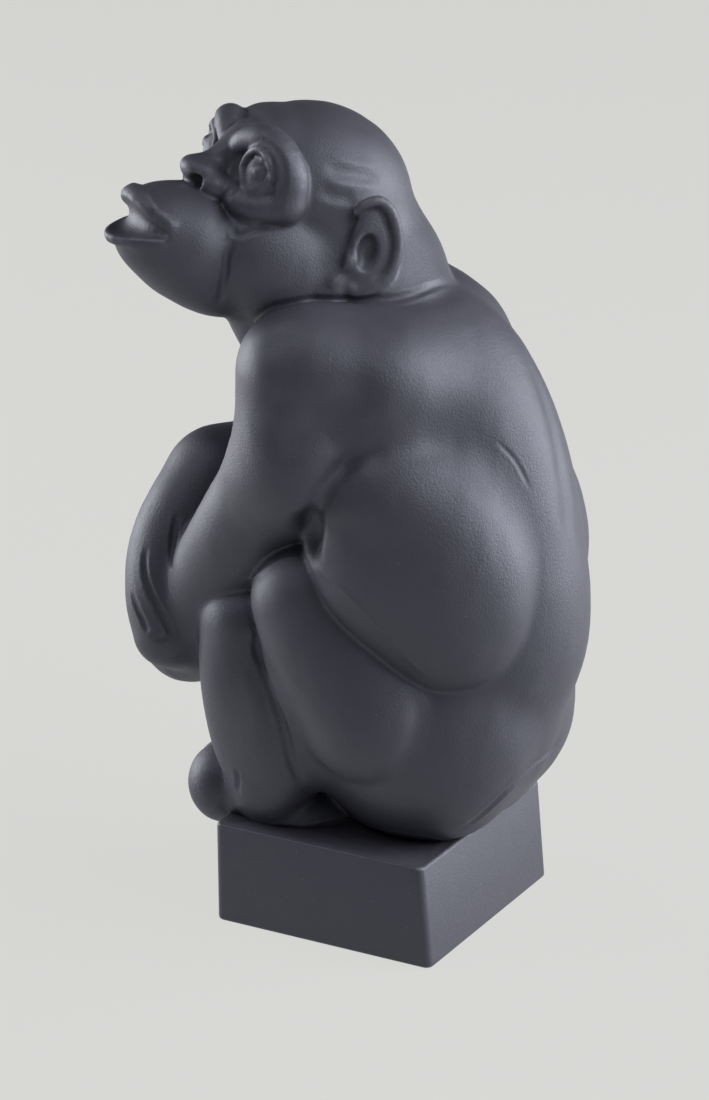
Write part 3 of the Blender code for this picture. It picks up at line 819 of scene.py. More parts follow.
@dataclass(frozen=True)
class Head:
    """Head and neck. The face's own frame runs forward, left and up from between the eyes."""

    face: Point = (12, -23.9, 133.7)
    head_turn: float = 53
    head_tip: float = 30
    neck: Limb = Limb(((-1, 2, 98, 15.5), (-2.5, -8.5, 112.5, 15)), 1.5)
    throat: Limb = Limb(((6.5, -19.7, 112, 11.4), (7.5, -18.5, 105, 10.6), (6.5, -14.5, 94, 9)), 1.5)
    braincase: Egg = Egg((-18, 0, 0), (19.2, 18, 17), 3)
    nape: Egg = Egg((-34.6, 0, -8.9), (17, 14.8, 14.4), 5)
    mastoid: Egg = Egg((-24, 10, -9), (11, 9.8, 10), 3)
    forehead: Egg = Egg((-6, 0, -4), (8, 15.5, 10), 3)
    glabella: Egg = Egg((-4.5, -2, 5.6), (5, 11, 6), 2)
    cheek: Egg = Egg((-16.5, 8, -14.5), (17, 11, 12.8), 1.5)
    lobe: Egg = Egg((-21.5, 17.3, -14), (3.5, 3, 3.8), 2)
    jaw: Egg = Egg((-4, 0, -22), (14, 11.8, 8.8), 2)
    muzzle: Egg = Egg((2.5, 0, -19), (10.5, 12.5, 11), 1)
    muzzle_front: Egg = Egg((9.5, 0, -19.5), (7, 9, 8), 4)
    muzzle_blend: float = 2.2
    upper_lip: Limb = Limb(across((10.5, 9, -17.2, 1), (13.6, 6, -16.2, 1.8), (15, 0, -15.7, 2.5)), 1)
    lower_lip: Limb = Limb(across((10.5, 8.5, -21.2, 1), (14, 5, -23.2, 1.3), (16, 0, -24.2, 1.4)), 1)
    mouth: Limb = Limb(across((11, 9.5, -19.4, 0.7), (14.5, 6, -20.1, 2.1), (17, 0, -20.4, 3.6)), 0.6, True)
    nose_bridge: Limb = Limb(((0.5, 0, 4, 3), (3, 0, -2, 2.8), (4.6, 0, -5, 3)), 1.5)
    nose: Egg = Egg((4.8, 0, -6), (5, 5.2, 3), 1.2)
    nose_wing: Egg = Egg((3.6, 4.2, -7.3), (3.2, 2.7, 2.6), 0.8)
    nostril: Egg = Egg((6.8, 3.4, -7.8), (1.8, 1.5, 1.4), 0.4, True)
    brow: Limb = Limb(
        (
            (1.6, 1.8, 0.6, 2), (1.9, 4.5, 3.2, 2.6), (0.8, 8.5, 4.8, 3.1), (-1.6, 12.4, 3.8, 3.5),
            (-4.3, 15, 0.6, 3.6), (-6, 15.4, -3.4, 3.3),
        ),
        1,
    )
    eyelids: Limb = Limb(
        (
            (1.9, 7.2, -1.6, 0.5), (2.1, 8, 0.8, 0.7), (2.3, 10, 2.3, 0.85), (1.9, 12.1, 2.7, 0.85),
            (0.9, 14, 1.9, 0.85), (-0.2, 14.9, 0.1, 0.85), (-0.8, 14.4, -2.2, 0.85), (-0.3, 13.2, -4, 0.85),
            (0.7, 11.4, -4.5, 0.85), (1.4, 9.1, -3.7, 0.7), (1.9, 7.2, -1.6, 0.5),
        ),
        0.5,
    )
    eye_bag: Limb = Limb(
        ((1.2, 6, -6.5, 2), (0, 9.8, -7.6, 2.6), (-2.8, 13, -6.8, 2.8), (-6, 15.2, -5, 3)),
        1.5,
    )
    ear: Point = (-23.2, 18.6, -4.5)
    ear_tip: float = -18
    ear_disc: Egg = Egg((-1.0, 0.9, 0), (4.9, 2.3, 9), 1.5)
    socket: Egg = Egg((-2.0, 10.8, -0.7), (4.0, 4.8, 5.0), 1.0)
    eye: Egg = Egg((0.55, 12.3, -0.9), (1.7, 1.7, 1.8), 0.3)
    # Each lid's radius, the degrees where it starts and ends, and its depth
    lids: tuple[tuple[float, ...], ...] = ((1.75, 0, 360, 0.4), (2.6, -50, 200, 0.3), (3.4, -50, 170, 0.25))
    lid_width: float = 0.38
    lid_tallness: float = 1.15
    lid_lift: float = 1.2
    lid_joints: int = 13
    lid_fade: float = 0.2
    ear_rim: Limb = Limb(
        (
            (3.4, 0.6, 6.6, 0.8), (2.2, 1.6, 8.4, 1.0), (-0.3, 2.2, 9.2, 1.1), (-3.1, 2.8, 6.7, 1.2),
            (-5, 3.1, 1, 1.3), (-4.2, 3, -4.4, 1.3), (-1.5, 2.6, -7.4, 1.3), (0.9, 1.7, -8.6, 1.2),
            (2.4, 1, -7.8, 1),
        ),
        1.1,
    )
    ear_fold: Limb = Limb(
        (
            (-0.4, 1.2, 5.8, 0.7), (-2.2, 1.8, 3, 1.1), (-3.1, 2, -1.2, 1.1), (-2.2, 1.8, -4.3, 1.1),
            (-0.9, 1.4, -5.9, 0.8),
        ),
        1.0,
    )
    ear_hollow: Egg = Egg((0.9, 3.2, -0.7), (2.1, 2.4, 3.6), 0.8, True)
    ear_groove: Line = Line(
        ((-0.9, 2.2, 7.6), (-3.2, 2.6, 4.6), (-4.3, 3, 0.6), (-3.7, 3, -3.6), (-1.6, 2.6, -6.4)),
        0.6, 0.3, 0, 0.15,
    )
    tragus: Egg = Egg((3.2, 1.2, -2.6), (1.2, 1.2, 1.9), 1.0)
    lines: tuple[Line, ...] = (
        # Crease between muzzle and jaw, and under the cheekbone
        Line(
            ((-1.8, 12.2, -13.3), (-2.4, 11.1, -18.4), (-3.3, 10.7, -22.3), (-5.3, 8.6, -25.9)),
            0.6, 0.8, 0.08,
        ),
        Line(((0.4, 10.6, -11.6), (-1.5, 12.1, -13.5), (-3, 14.1, -11.2), (-5, 15.2, -9)), 0.6, 0.4, 0.1),
        # Temple
        Line(((-9.5, 15, 4.9), (-12.8, 15.6, 5.8), (-17, 15.8, 6.8), (-21, 15, 7.8)), 1.3, 0.5, 0.1),
        Line(((-10.1, 16.2, 1), (-13.3, 17.3, 1.4), (-17.1, 17.6, 2.7)), 1.2, 0.45, 0.1),
        # Ridge from the ear to the jaw
        Line(((-19.7, 21.9, -6.9), (-19.7, 21.3, -11.3), (-19.6, 19.3, -14.7)), 0.9, -0.7),
        # Wrinkles of the upper lip
        Line(((16.6, 2.3, -14.3), (15.4, 6.3, -15.5), (13.3, 8.2, -17.6)), 0.5, 0.35),
        Line(((14.8, 1.7, -13.3), (14.1, 6, -14.3), (12.8, 8.6, -16)), 0.5, 0.3),
        # Fold between the lids and the brow
        Line(
            (
                (2.9, 7.3, 2.2), (2.6, 11, 4.2), (1.3, 13.6, 4.4), (-0.6, 16, 3), (-2.2, 17.4, 0.2),
                (-3.3, 17.3, -3.5), (-3, 16.5, -6.3),
            ),
            0.6, 0.35, 0.05,
        ),
        # Wrinkles of the eye bag
        *(
            Line(ends, 0.35, 0.18)
            for ends in (
                ((1.6, 9.2, -6), (1.2, 9.6, -8)),
                ((0.9, 10.8, -6), (0.4, 11.4, -8.2)),
                ((0.2, 12.4, -6), (-0.7, 13.2, -8)),
                ((-0.9, 14, -5.5), (-1.9, 14.9, -7.3)),
            )
        ),
    )

    def face_place(self) -> Place:
        """The face's own frame."""
        return Place().tipped(self.face, self.head_turn, self.head_tip)

    def lay(self) -> Clay:
        """The head in clay."""
        clay = Clay()
        clay.lay(self.neck, self.throat)
        face = self.face_place()
        clay.lay(self.braincase, self.nape, self.forehead, self.glabella, place=face)
        clay.lay_pairs(self.mastoid, self.cheek, self.lobe, place=face)
        clay.lay(self.jaw, place=face)
        muzzle = Clay()
        muzzle.lay(self.muzzle, self.muzzle_front, place=face)
        clay.join(muzzle, self.muzzle_blend)
        clay.lay(self.upper_lip, self.lower_lip, self.mouth, self.nose_bridge, self.nose, place=face)
        clay.lay_pairs(self.nose_wing, self.nostril, self.brow, place=face)
        clay.lay_pairs(self.socket, self.eyelids, self.eye_bag, self.eye, place=face)
        clay.draw_pairs(*self.lid_lines(), place=face)
        self.lay_ears(clay, face)
        clay.draw_pairs(*self.lines, place=face)
        return clay

    def lid_lines(self) -> list[Line]:
        """The lids: rings and arcs about the eye, as lines in the face's own frame."""
        # Back along the side of the face, out of it, and up
        back_along, out, up = np.array([[-0.8, 0.6, 0], [0.6, 0.8, 0], [0, 0, 1]])
        lines = []
        for radius, start, end, depth in self.lids:
            turns = np.radians(np.linspace(start, end, self.lid_joints))
            level, rise = np.outer(np.cos(turns), back_along), np.outer(np.sin(turns), up)
            ring = radius * (level + rise * self.lid_tallness)
            points = tuple(map(tuple, (np.array(self.eye.centre) + self.lid_lift * out + ring).tolist()))
            whole = end - start == 360
            lines.append(Line(points, self.lid_width, depth, fade=0.0 if whole else self.lid_fade))
        return lines

    def lay_ears(self, clay: Clay, face: Place) -> None:
        """Lays both ears.

        Args:
            clay: The head's clay.
            face: The face's own frame.
        """
        for sign in (1, -1):
            upright = Place().tipped((0, 0, 0), self.head_turn, self.head_tip + self.ear_tip).side(sign)
            ear = Place(face.side(sign).out(self.ear), upright.axes, 1)
            clay.lay(self.ear_disc, self.ear_rim, self.ear_fold, self.ear_hollow, self.tragus, place=ear)
            clay.draw(self.ear_groove, place=ear)


@dataclass(frozen=True)
class Carving:
    """The lines drawn into the body: fingers, toes, creases with their worn lips, and soft valleys."""

    fist_grooves: tuple[float, ...] = (-2, 1.7, 5.4)
    fist_curl: tuple[tuple[float, float], ...] = ((-48, 37), (-52.5, 32), (-53, 27), (-48, 21.5))
    toe_grooves: tuple[float, ...] = (6.2, 9.8, 13.4)
    toe_curl: tuple[tuple[float, float], ...] = ((-31, 12.5), (-35.5, 9), (-37, 4), (-35.5, -1), (-31, -4.5))
    groove_width: float = 0.8
    groove_depth: float = 0.9
    lines: tuple[Line, ...] = (
        # Slits between the fingers of the right hand
        Line(
            (
                (16.9, -43.3, 53.5), (18.2, -43.2, 50.3), (19.5, -42.3, 47.3), (20.7, -39.8, 43.3),
                (20.9, -37.5, 39.6), (21, -36.3, 36.9), (21.9, -38.1, 36), (22.1, -39.8, 36.6),
            ),
            0.6, 0.9, 0.15,
        ),
        Line(((20, -45.4, 43.6), (21.4, -42.7, 40.3), (22, -40.3, 36.9)), 0.6, 0.8, 0.15),
        Line(
            ((13.5, -38.5, 59.7), (15.2, -38.5, 55.4), (17, -37.5, 52), (19.5, -35.5, 49.5)),
            0.6, 0.7, 0.15,
        ),
        # Valleys round the shoulder, a fold on the ribs and the line of the spine
        Line(((24.1, 11.8, 99.8), (27.8, 9.2, 93.8), (30.9, 2.3, 87.8), (33.9, -6.4, 83.8)), 3.5, 1.0),
        Line(((27, -7.1, 106.2), (32.1, -2.9, 99.5), (32.7, -3.1, 89.9)), 4.0, 0.7),
        Line(((26, 0.6, 69), (31.4, 10.6, 69.4), (30.3, 18.5, 65)), 3.0, 0.5),
        Line(
            (
                (-5.7, 27, 98.4), (-4.8, 31.8, 91.4), (-2.3, 36.6, 81.9), (-0.1, 40, 71.1), (1.9, 42, 59.9),
            ),
            2.0, 0.5,
        ),
        # Valley between the arm and the ribs, and the deep creases before and behind the thigh
        Line(
            (
                (27.5, -1, 63.7), (27.9, -0.3, 68.6), (31.1, 3.6, 75.6), (28.7, 6.1, 79.5),
                (26.8, 10.3, 82.8), (25.3, 14.8, 84.2),
            ),
            1.8, 0.8,
        ),
        Line(
            (
                (23.4, -16.3, 47), (25.6, -14.2, 43.3), (25.5, -13.6, 38.5), (26.7, -10.1, 32.3),
                (26.8, -7.2, 25.5), (25, -6.2, 16.5), (21.7, -5.5, 11.1),
            ),
            0.8, 0.9, 0.08, 0.15,
        ),
        Line(((24.5, 20.3, 37.3), (25.3, 21.7, 32), (26.4, 20.4, 25.4), (26.1, 15.7, 18.8)), 1.6, 0.6),
        # Scratch on the back
        Line(((11, 30.4, 84.8), (9.3, 33.8, 80.9), (8.3, 36.6, 75.1)), 0.4, 0.25, 0.05),
        # Worn lips along the flank's crease, under the forearm and where the cast meets its block
        Line(
            ((27, 1.5, 61), (31.4, 9.4, 57.3), (29.9, 16.1, 50.8), (27, 21.4, 43.9), (23.4, 25.4, 38.9)),
            0.4, -0.25,
        ),
        Line(((25.4, -2.9, 61.1), (26.1, -7.4, 59.1), (26.3, -11.7, 56), (23.3, -18.6, 50.9)), 0.4, -0.25),
        Line(
            (
                (19.5, -26, -0.5), (19.5, -19.5, -0.7), (21, -12.8, 0.9), (19.4, -8, 1.1), (17.1, -4.3, 1.8),
                (13.1, -1.4, 2.2), (15, 5.4, 2), (16.8, 13.1, 3), (14.9, 18.7, 2.5), (9, 21.1, 0),
            ),
            0.45, -0.35, fade=0.1,
        ),
        # Crease over the rump and the foot's edge
        Line(((-7.4, 36.1, 19.3), (5.4, 35.6, 17.6), (12.4, 32.7, 13.3), (13.6, 23.5, 4.4)), 0.8, 0.55, 0.15),
        Line(((25.8, -18.7, 13.5), (25, -18.7, 10.7), (23.6, -19.9, 7.3)), 0.6, 0.6, 0.1),
    )
    neck_line: Line = Line(
        (
            (20.8, -15.7, 104.8), (22.2, -11.6, 107.7), (19.9, -6.4, 109), (13.7, -1.2, 108.7),
            (8.4, 8.7, 108.9), (-4.5, 12.6, 109.2),
        ),
        0.7, 0.55, 0.1, 0.2,
    )

    def draw(self, figure: Clay) -> None:
        """Draws the body's lines.

        Args:
            figure: The clay that they are drawn into.
        """
        figure.draw(*self.lines)
        figure.draw(*(self.groove(x, self.fist_curl) for x in self.fist_grooves))
        figure.draw_pairs(*(self.groove(x, self.toe_curl) for x in self.toe_grooves))

    def groove(self, x: float, curl: tuple[tuple[float, float], ...]) -> Line:
        """An upright groove between two fingers or toes.

        Args:
            x: How far it is from the middle plane.
            curl: Its course, as distances back and up.

        Returns:
            The groove.
        """
        return Line(tuple((x, y, z) for y, z in curl), self.groove_width, self.groove_depth)


@dataclass(frozen=True)
class Block:
    """The block base, its back face leaning in towards the top."""

    base_width: float = 50.6
    base_depth: float = 48.6
    base_height: float = 21.0
    base_lean: float = 1.8
    corner_rounding: float = 1.6
    edge_rounding: float = 0.6
    corner_segments: int = 6
    edge_segments: int = 3
    sharp_turn: float = 0.8

    def build(self) -> bpy.types.Object:
        """The block as a mesh object."""
        bm = bmesh.new()
        bmesh.ops.create_cube(bm, size=1)
        for vertex in bm.verts:
            vertex.co.x *= self.base_width
            vertex.co.y *= self.base_depth
            if vertex.co.y > 0 and vertex.co.z > 0:
                vertex.co.y -= self.base_lean
            vertex.co.z = (vertex.co.z + 0.5) * self.base_height
            vertex.co *= MM
        half = self.base_height * MM / 2
        upright = [edge for edge in bm.edges if abs(edge.verts[0].co.z - edge.verts[1].co.z) > half]
        self.bevel(bm, upright, self.corner_rounding, self.corner_segments)
        turned = [edge for edge in bm.edges if edge.calc_face_angle() > self.sharp_turn]
        self.bevel(bm, turned, self.edge_rounding, self.edge_segments)
        mesh = bpy.data.meshes.new("block")
        bm.to_mesh(mesh)
        bm.free()
        block = bpy.data.objects.new("block", mesh)
        bpy.context.scene.collection.objects.link(block)
        return block

    @staticmethod
    def bevel(bm: bmesh.types.BMesh, edges: list[bmesh.types.BMEdge], rounding: float, segments: int) -> None:
        """Rounds edges.

        Args:
            bm: The block's mesh.
            edges: The edges to round.
            rounding: How far the rounding reaches, in millimetres.
            segments: How many faces it has.
        """
        bmesh.ops.bevel(bm, geom=edges, offset=rounding * MM, segments=segments, affect="EDGES", profile=0.5)


@dataclass(frozen=True)
class WearAndShade:
    """Where the surface is rubbed, and where shade is painted into its creases, from how sharply it bends."""

    rubbed_bend: float = 1.3
    # The bend of a crease at which its painted shade is darkest
    shaded_bend: float = -1.6
    flat_bend: float = 0.35
    rounds: int = 2

    def mark(self, mesh: bpy.types.Mesh) -> None:
        """Writes the wear and the painted crease shade into the mesh as an attribute.

        Args:
            mesh: The mesh, in metres.
        """
        count = len(mesh.vertices)
        points = np.empty(count * 3, np.float32)
        mesh.vertices.foreach_get("co", points)
        normals = np.empty(count * 3, np.float32)
        mesh.vertices.foreach_get("normal", normals)
        edges = np.empty(len(mesh.edges) * 2, np.int32)
        mesh.edges.foreach_get("vertices", edges)
        points, normals, edges = points.reshape(-1, 3) / MM, normals.reshape(-1, 3), edges.reshape(-1, 2)
        first, second = edges.T
        way = points[second] - points[first]
        square = (way * way).sum(axis=1)
        falls = -(normals[first] * way).sum(axis=1), (normals[second] * way).sum(axis=1)
        # A surface of radius r falls by d * d / 2r over a distance d
        bend = 2 * self.gathered(edges, *falls, count)
        bend /= np.maximum(self.gathered(edges, square, square, count), 1e-6)
        for _ in range(self.rounds):
            around = self.gathered(edges, bend[second], bend[first], count)
            bend = (bend + around / np.maximum(np.bincount(edges.ravel(), minlength=count), 1)) / 2
        rubbed = np.clip((bend - self.flat_bend) / (self.rubbed_bend - self.flat_bend), 0, 1)
        # Painted shade: how deep in a crease each vertex lies, which darkens its colour
        shaded = np.clip((bend + self.flat_bend) / (self.shaded_bend + self.flat_bend), 0, 1)
        mark = mesh.attributes.new(WEAR_AND_SHADE, "FLOAT", "POINT")
        mark.data.foreach_set("value", (rubbed - shaded).astype(np.float32))

    @staticmethod
    def gathered(edges: Array, at_first: Array, at_second: Array, count: int) -> Array:
        """Adds up at each vertex what its edges bring.

        Args:
            edges: The two vertices of each edge.
            at_first: What each edge brings to its first vertex.
            at_second: What it brings to its second.
            count: How many vertices there are.

        Returns:
            One sum a vertex.
        """
        total = np.bincount(edges[:, 0], weights=at_first, minlength=count)
        return total + np.bincount(edges[:, 1], weights=at_second, minlength=count)


@dataclass(frozen=True)
class Figurine:
    """The whole cast: the chimpanzee and its block."""

    back: Back = Back()
    trunk: Trunk = Trunk()
    legs: Legs = Legs()
    arms: Arms = Arms()
    head: Head = Head()
    carving: Carving = Carving()
    unevenness: Unevenness = Unevenness()
    block: Block = Block()
    flank_level: float = 50
    flank_blend: float = 0.8
    armpit_level: float = 82
    armpit_blend: float = 1.2
    shoulder_level: float = 94
    shoulder_blend: float = 5
    head_blend: float = 0.8
    seat: float = 0.4
    grid_step: float = 0.45
    quick_grid_step: float = 0.8
    most_triangles: int = 190000
    sharp_angle: float = 50.0
    wear_and_shade: WearAndShade = WearAndShade()

    def clay(self) -> Clay:
        """The chimpanzee in clay, with its lines drawn."""
        figure = self.back.lay()
        shoulder = (self.shoulder_level, self.shoulder_blend)
        figure.join(self.trunk.lay(), softer_above(self.flank_level, self.flank_blend, *shoulder))
        self.legs.lay(figure)
        self.arms.lay(figure, softer_above(self.armpit_level, self.armpit_blend, *shoulder))
        self.carving.draw(figure)
        figure.join(self.head.lay(), self.head_blend)
        figure.draw(self.carving.neck_line)
        figure.work(self.unevenness)
        return figure

    def build(self) -> bpy.types.Object:
        """The cast as a mesh object, in the frame's metres."""
        step = self.grid_step
        points, faces = Wrapper(step).wrapped(self.clay())
        points[:, 2] += self.block.base_height - self.seat
        mesh = bpy.data.meshes.new("chimpanzee")
        mesh.from_pydata((points * MM).tolist(), [], faces.tolist())
        mesh.validate()
        cast = bpy.data.objects.new("chimpanzee", mesh)
        bpy.context.scene.collection.objects.link(cast)
        block = self.block.build()
        thin = cast.modifiers.new("thin", "DECIMATE")
        thin.ratio = min(1.0, self.most_triangles / (2 * len(faces)))
        joined = cast.modifiers.new("cast in one", "BOOLEAN")
        joined.operation = "UNION"
        joined.solver = "MANIFOLD"
        joined.object = block
        graph = bpy.context.evaluated_depsgraph_get()
        whole = bpy.data.meshes.new_from_object(cast.evaluated_get(graph))
        cast.modifiers.clear()
        cast.data = whole
        bpy.data.objects.remove(block)
        whole.shade_smooth()
        whole.set_sharp_from_angle(angle=np.radians(self.sharp_angle))
        self.wear_and_shade.mark(whole)
        return cast


class Shader:
    """A node tree, and the ways in which nodes are added to it."""

    def __init__(self, tree: bpy.types.NodeTree) -> None:
        """Keeps the tree.

        Args:
            tree: The node tree.
        """
        self.nodes = tree.nodes
        self.links = tree.links

    def feed(self, node: Node, inputs: Inputs) -> Node:
        """Sets a node's inputs.

        Args:
            node: The node.
            inputs: What each input is set to, or the socket that feeds it.

        Returns:
            The same node.
        """
        for name, value in inputs.items():
            if isinstance(value, Socket):
                self.links.new(value, node.inputs[name])
            else:
                node.inputs[name].default_value = value
        return node

    def add(self, kind: str, inputs: Inputs) -> Node:
        """Adds a node.

        Args:
            kind: Its type, without Blender's "ShaderNode" before it.
            inputs: What each input is set to, or the socket that feeds it.

        Returns:
            The node.
        """
        return self.feed(self.nodes.new("ShaderNode" + kind), inputs)

    def math(self, operation: str, first: Socket, second: Socket | float) -> Socket:
        """The result of an arithmetic node.

        Args:
            operation: Blender's name of the operation.
            first: The first value.
            second: The second value.

        Returns:
            The result.
        """
        node = self.add("Math", {0: first, 1: second})
        node.operation = operation
        return node.outputs[0]

    def noise(self, place: Socket, scale: float, detail: float) -> Socket:
        """Cloudy noise.

        Args:
            place: The coordinates that it is laid on.
            scale: How many waves it has in a metre.
            detail: How many finer layers it has.

        Returns:
            The noise, from 0 to 1.
        """
        return self.add("TexNoise", {"Scale": scale, "Detail": detail, "Vector": place}).outputs["Fac"]

    def ramp(self, value: Socket, nothing: float, full: float) -> Socket:
        """A value's rise from 0 at one level to 1 at another.

        Args:
            value: The value.
            nothing: The level where it is 0.
            full: The level where it is 1.

        Returns:
            The risen value.
        """
        return self.add("MapRange", {"From Min": nothing, "From Max": full, "Value": value}).outputs["Result"]

    def mix(self, share: Socket, first: Socket | tuple, second: Colour) -> Socket:
        """A mixture of two colours.

        Args:
            share: How much there is of the second.
            first: The first colour, or the socket that gives it.
            second: The second colour.

        Returns:
            The mixture.
        """
        node = self.nodes.new("ShaderNodeMix")
        node.data_type = "RGBA"
        return self.feed(node, {"Factor": share, "A": first, "B": (*second, 1)}).outputs["Result"]

    def bump(self, height: Socket, reach: float, strength: float, below: Inputs) -> Inputs:
        """A bump, over any bump below it.

        Args:
            height: Its height, from 0 to 1.
            reach: How high it stands at 1, in metres.
            strength: How strong it is, and negative for a dent.
            below: The normal of the bump below, or nothing.

        Returns:
            The bumped normal.
        """
        inputs = {"Strength": abs(strength), "Distance": reach, "Height": height}
        node = self.add("Bump", inputs | below)
        node.invert = strength < 0
        return {"Normal": node.outputs["Normal"]}


@dataclass(frozen=True)
class BlackStoneware:
    """Unglazed black stoneware: a fine fired grain under a soft bluish sheen.

    It is paler where handling has rubbed its edges, and darker in its creases, where shade is painted in.
    Scales are in waves or cells a metre, and sizes of spots are shares of a cell.
    """

    colour: Colour = (0.042, 0.042, 0.058)
    cloudy_colour: Colour = (0.056, 0.056, 0.074)
    worn_colour: Colour = (0.20, 0.20, 0.225)
    # Painted shade: the dark colour that creases are painted with
    crease_shade_colour: Colour = (0.010, 0.010, 0.014)
    speck_colour: Colour = (0.17, 0.17, 0.17)
    sheen_colour: Colour = (0.80, 0.85, 1.0)
    gloss: float = 0.95
    roughness: float = 0.55
    roughness_spread: float = 0.08
    grain_scale: float = 2400.0
    grain_detail: float = 3.0
    grain_bump: float = 0.7
    stroke_scale: float = 420.0
    stroke_detail: float = 2.0
    stroke_turn: Point = (0.5, 0.35, 0.6)
    stroke_stretch: float = 9.0
    stroke_bump: float = 0.12
    pit_scale: float = 520.0
    pit_size: float = 0.05
    pit_bump: float = 0.4
    speck_scale: float = 430.0
    speck_size: float = 0.035
    empty_share: float = 0.75
    empty_edge: float = 0.15
    cloud_scale: float = 260.0
    cloud_detail: float = 4.0
    bump_height: float = 0.00012

    def build(self) -> bpy.types.Material:
        """The finish as a node material."""
        material = bpy.data.materials.new("black_stoneware")
        material.use_nodes = True
        shader = Shader(material.node_tree)
        place = shader.add("TexCoord", {}).outputs["Object"]
        grain = shader.noise(place, self.grain_scale, self.grain_detail)
        clouds = shader.noise(place, self.cloud_scale, self.cloud_detail)
        stretch = (1, self.stroke_stretch, self.stroke_stretch)
        turned = shader.add("Mapping", {"Rotation": self.stroke_turn, "Scale": stretch, "Vector": place})
        strokes = shader.noise(turned.outputs["Vector"], self.stroke_scale, self.stroke_detail)
        pits = self.spots(shader, place, self.pit_scale, self.pit_size)
        specks = self.spots(shader, place, self.speck_scale, self.speck_size)
        attribute = shader.add("Attribute", {})
        attribute.attribute_name = WEAR_AND_SHADE
        wear_and_shade = attribute.outputs["Fac"]
        colour = shader.mix(clouds, (*self.colour, 1), self.cloudy_colour)
        # Painted shade: creases darkened towards the shade colour
        colour = shader.mix(shader.ramp(wear_and_shade, 0.0, -1.0), colour, self.crease_shade_colour)
        colour = shader.mix(shader.ramp(wear_and_shade, 0.0, 1.0), colour, self.worn_colour)
        colour = shader.mix(specks, colour, self.speck_colour)
        least, most = self.roughness - self.roughness_spread, self.roughness + self.roughness_spread
        rough = shader.add("MapRange", {"To Min": least, "To Max": most, "Value": grain})
        normal = shader.bump(pits, self.bump_height, -self.pit_bump, {})
        normal = shader.bump(strokes, self.bump_height, self.stroke_bump, normal)
        normal = shader.bump(grain, self.bump_height, self.grain_bump, normal)
        surface = {
            "Base Color": colour,
            "Roughness": rough.outputs["Result"],
            "Specular IOR Level": self.gloss,
            "Specular Tint": (*self.sheen_colour, 1),
        }
        shader.feed(shader.nodes["Principled BSDF"], surface | normal)
        return material

    def spots(self, shader: Shader, place: Socket, scale: float, size: float) -> Socket:
        """Small round spots, one in some of the cells.

        Args:
            shader: The material's nodes.
            place: The coordinates that they are laid on.
            scale: How many cells there are in a metre.
            size: A spot's radius as a share of a cell.

        Returns:
            1 on a spot and 0 off it.
        """
        cells = shader.add("TexVoronoi", {"Scale": scale, "Vector": place})
        chosen = shader.add("SeparateColor", {"Color": cells.outputs["Color"]})
        some = shader.ramp(chosen.outputs["Red"], self.empty_share, self.empty_share + self.empty_edge)
        spot = shader.ramp(cells.outputs["Distance"], 2 * size, size)
        return shader.math("MULTIPLY", some, spot)


@dataclass(frozen=True)
class Camera:
    """The photograph's camera, as directions in the frame and a place in metres."""

    right: Point = (-0.4897, 0.8718, -0.0062)
    up: Point = (-0.3012, -0.1624, 0.9396)
    back: Point = (0.8182, 0.4621, 0.3421)
    place: Point = (0.6444, 0.3577, 0.3430)
    lens: float = 130.9
    sensor: float = 36.0
    nearest: float = 0.01

    def build(self) -> None:
        """Places the camera and sets it as the scene's."""
        data = bpy.data.cameras.new("camera")
        data.lens = self.lens
        data.sensor_width = self.sensor
        data.sensor_fit = "AUTO"
        data.clip_start = self.nearest
        camera = bpy.data.objects.new("camera", data)
        turned = Matrix((self.right, self.up, self.back)).transposed()
        camera.matrix_world = Matrix.Translation(self.place) @ turned.to_4x4()
        bpy.context.scene.collection.objects.link(camera)
        bpy.context.scene.camera = camera


@dataclass(frozen=True)
class Lamp:
    """A square soft lamp: degrees round from the camera to its right, degrees up from it, and watts."""

    name: str
    turn: float
    rise: float
    power: float
    size: float = 0.5
    distance: float = 0.8

    def build(self, camera: Camera, aim: Vector) -> None:
        """Hangs the lamp, shining at the object.

        Args:
            camera: The camera that its place is measured from.
            aim: The point that it shines at.
        """
        turn, rise = np.radians([self.turn, self.rise]).tolist()
        right, up, back = (Vector(way) for way in (camera.right, camera.up, camera.back))
        level = back * np.cos(turn) + right * np.sin(turn)
        way = level * np.cos(rise) + up * np.sin(rise)
        data = bpy.data.lights.new(self.name, "AREA")
        data.size = self.size
        data.energy = self.power
        lamp = bpy.data.objects.new(self.name, data)
        lamp.location = aim + way * self.distance
        lamp.rotation_euler = (-way).to_track_quat("-Z", "Y").to_euler()
        lamp.visible_camera = False
        bpy.context.scene.collection.objects.link(lamp)


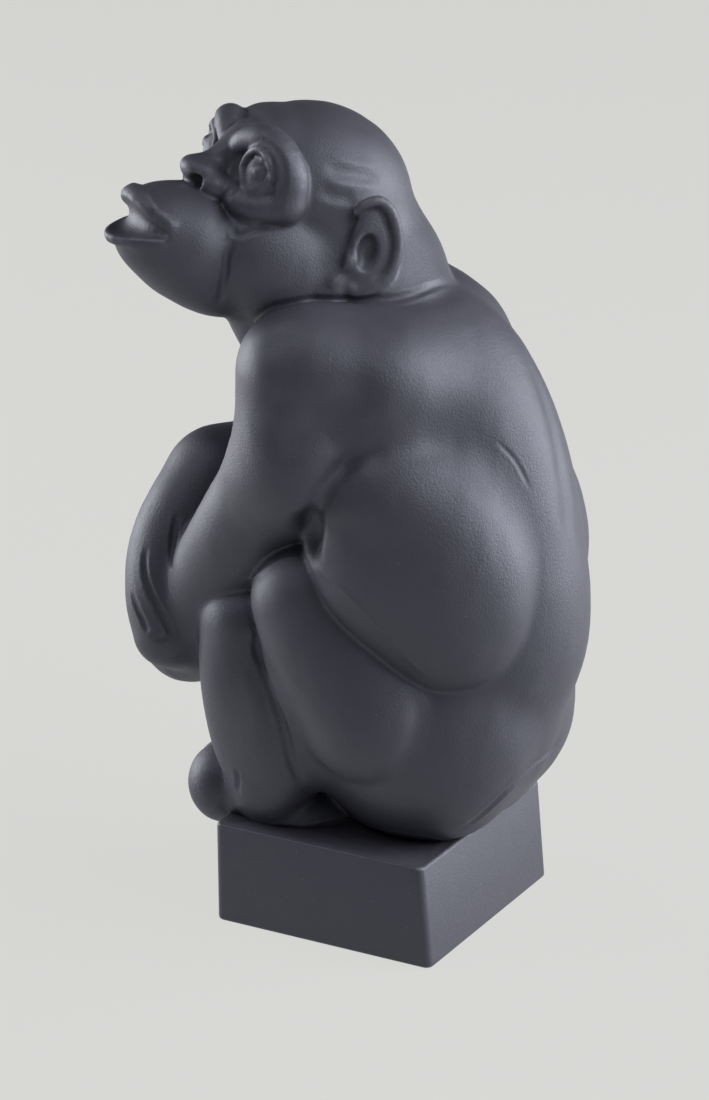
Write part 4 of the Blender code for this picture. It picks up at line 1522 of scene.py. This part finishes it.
@dataclass(frozen=True)
class Studio:
    """A plain pale floor that reaches far out, with three soft lamps round the front and one behind."""

    floor_size: float = 60.0
    backdrop_colour: Colour = (0.755, 0.76, 0.735)
    floor_colour: Colour = (0.30, 0.30, 0.30)
    floor_roughness: float = 0.9
    floor_gloss: float = 0.1
    backdrop_share: float = 0.85
    world_strength: float = 0.06
    middle: Point = (0, 0, 0.09)
    lamps: tuple[Lamp, ...] = (
        Lamp("right lamp", 92, 14, 7.0),
        Lamp("front lamp", 48, 28, 4.2),
        Lamp("left lamp", -118, 12, 6.5),
        Lamp("upper lamp", -45, 45, 1.4),
    )

    def floor(self) -> None:
        """Lays the floor."""
        mesh = bpy.data.meshes.new("floor")
        half = self.floor_size / 2
        corners = [(-half, -half, 0), (half, -half, 0), (half, half, 0), (-half, half, 0)]
        mesh.from_pydata(corners, [], [(0, 1, 2, 3)])
        floor = bpy.data.objects.new("floor", mesh)
        bpy.context.scene.collection.objects.link(floor)
        mesh.materials.append(self.floor_finish())

    def floor_finish(self) -> bpy.types.Material:
        """The floor's finish, evenly pale to the eye, with the object's shadow on it."""
        material = bpy.data.materials.new("floor")
        material.use_nodes = True
        shader = Shader(material.node_tree)
        surface = {
            "Base Color": (*self.floor_colour, 1),
            "Roughness": self.floor_roughness,
            "Specular IOR Level": self.floor_gloss,
        }
        lit = shader.feed(shader.nodes["Principled BSDF"], surface).outputs["BSDF"]
        glow = shader.add("Emission", {"Color": (*self.backdrop_colour, 1)}).outputs["Emission"]
        share = shader.math("MULTIPLY", self.seen(shader), self.backdrop_share)
        both = shader.add("MixShader", {"Fac": share, 1: lit, 2: glow}).outputs["Shader"]
        shader.feed(shader.nodes["Material Output"], {"Surface": both})
        return material

    @staticmethod
    def seen(shader: Shader) -> Socket:
        """1 for what is seen straight, by a mirror or through glass, and 0 for what only gives light."""
        path = shader.add("LightPath", {}).outputs
        seen = path["Is Camera Ray"]
        for name in ("Is Glossy Ray", "Is Transmission Ray"):
            seen = shader.math("MAXIMUM", seen, path[name])
        return seen

    def world(self) -> None:
        """Sets a world that lights everything faintly and evenly."""
        world = bpy.data.worlds.new("world")
        world.use_nodes = True
        shader = Shader(world.node_tree)
        faint = {"Color": (*self.backdrop_colour, 1), "Strength": self.world_strength}
        shader.feed(shader.nodes["Background"], faint)
        bpy.context.scene.world = world

    def build(self, camera: Camera) -> None:
        """Builds the floor, the world and the lamps.

        Args:
            camera: The camera that the lamps are placed by.
        """
        self.floor()
        self.world()
        for lamp in self.lamps:
            lamp.build(camera, Vector(self.middle))


def main() -> None:
    """Builds the figurine and the studio."""
    logging.basicConfig(level=logging.INFO, format="%(message)s")
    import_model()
    cast = Figurine().build()
    cast.data.materials.clear()
    cast.data.materials.append(BlackStoneware().build())
    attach(cast, "root")
    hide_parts("chimpanzee_figurine")
    log.info("%s: %d triangles", cast.name, sum(len(face.vertices) - 2 for face in cast.data.polygons))
    camera = Camera()
    camera.build()
    Studio().build(camera)
    bpy.context.scene.view_settings.view_transform = "Standard"


if __name__ == "__main__":
    main()
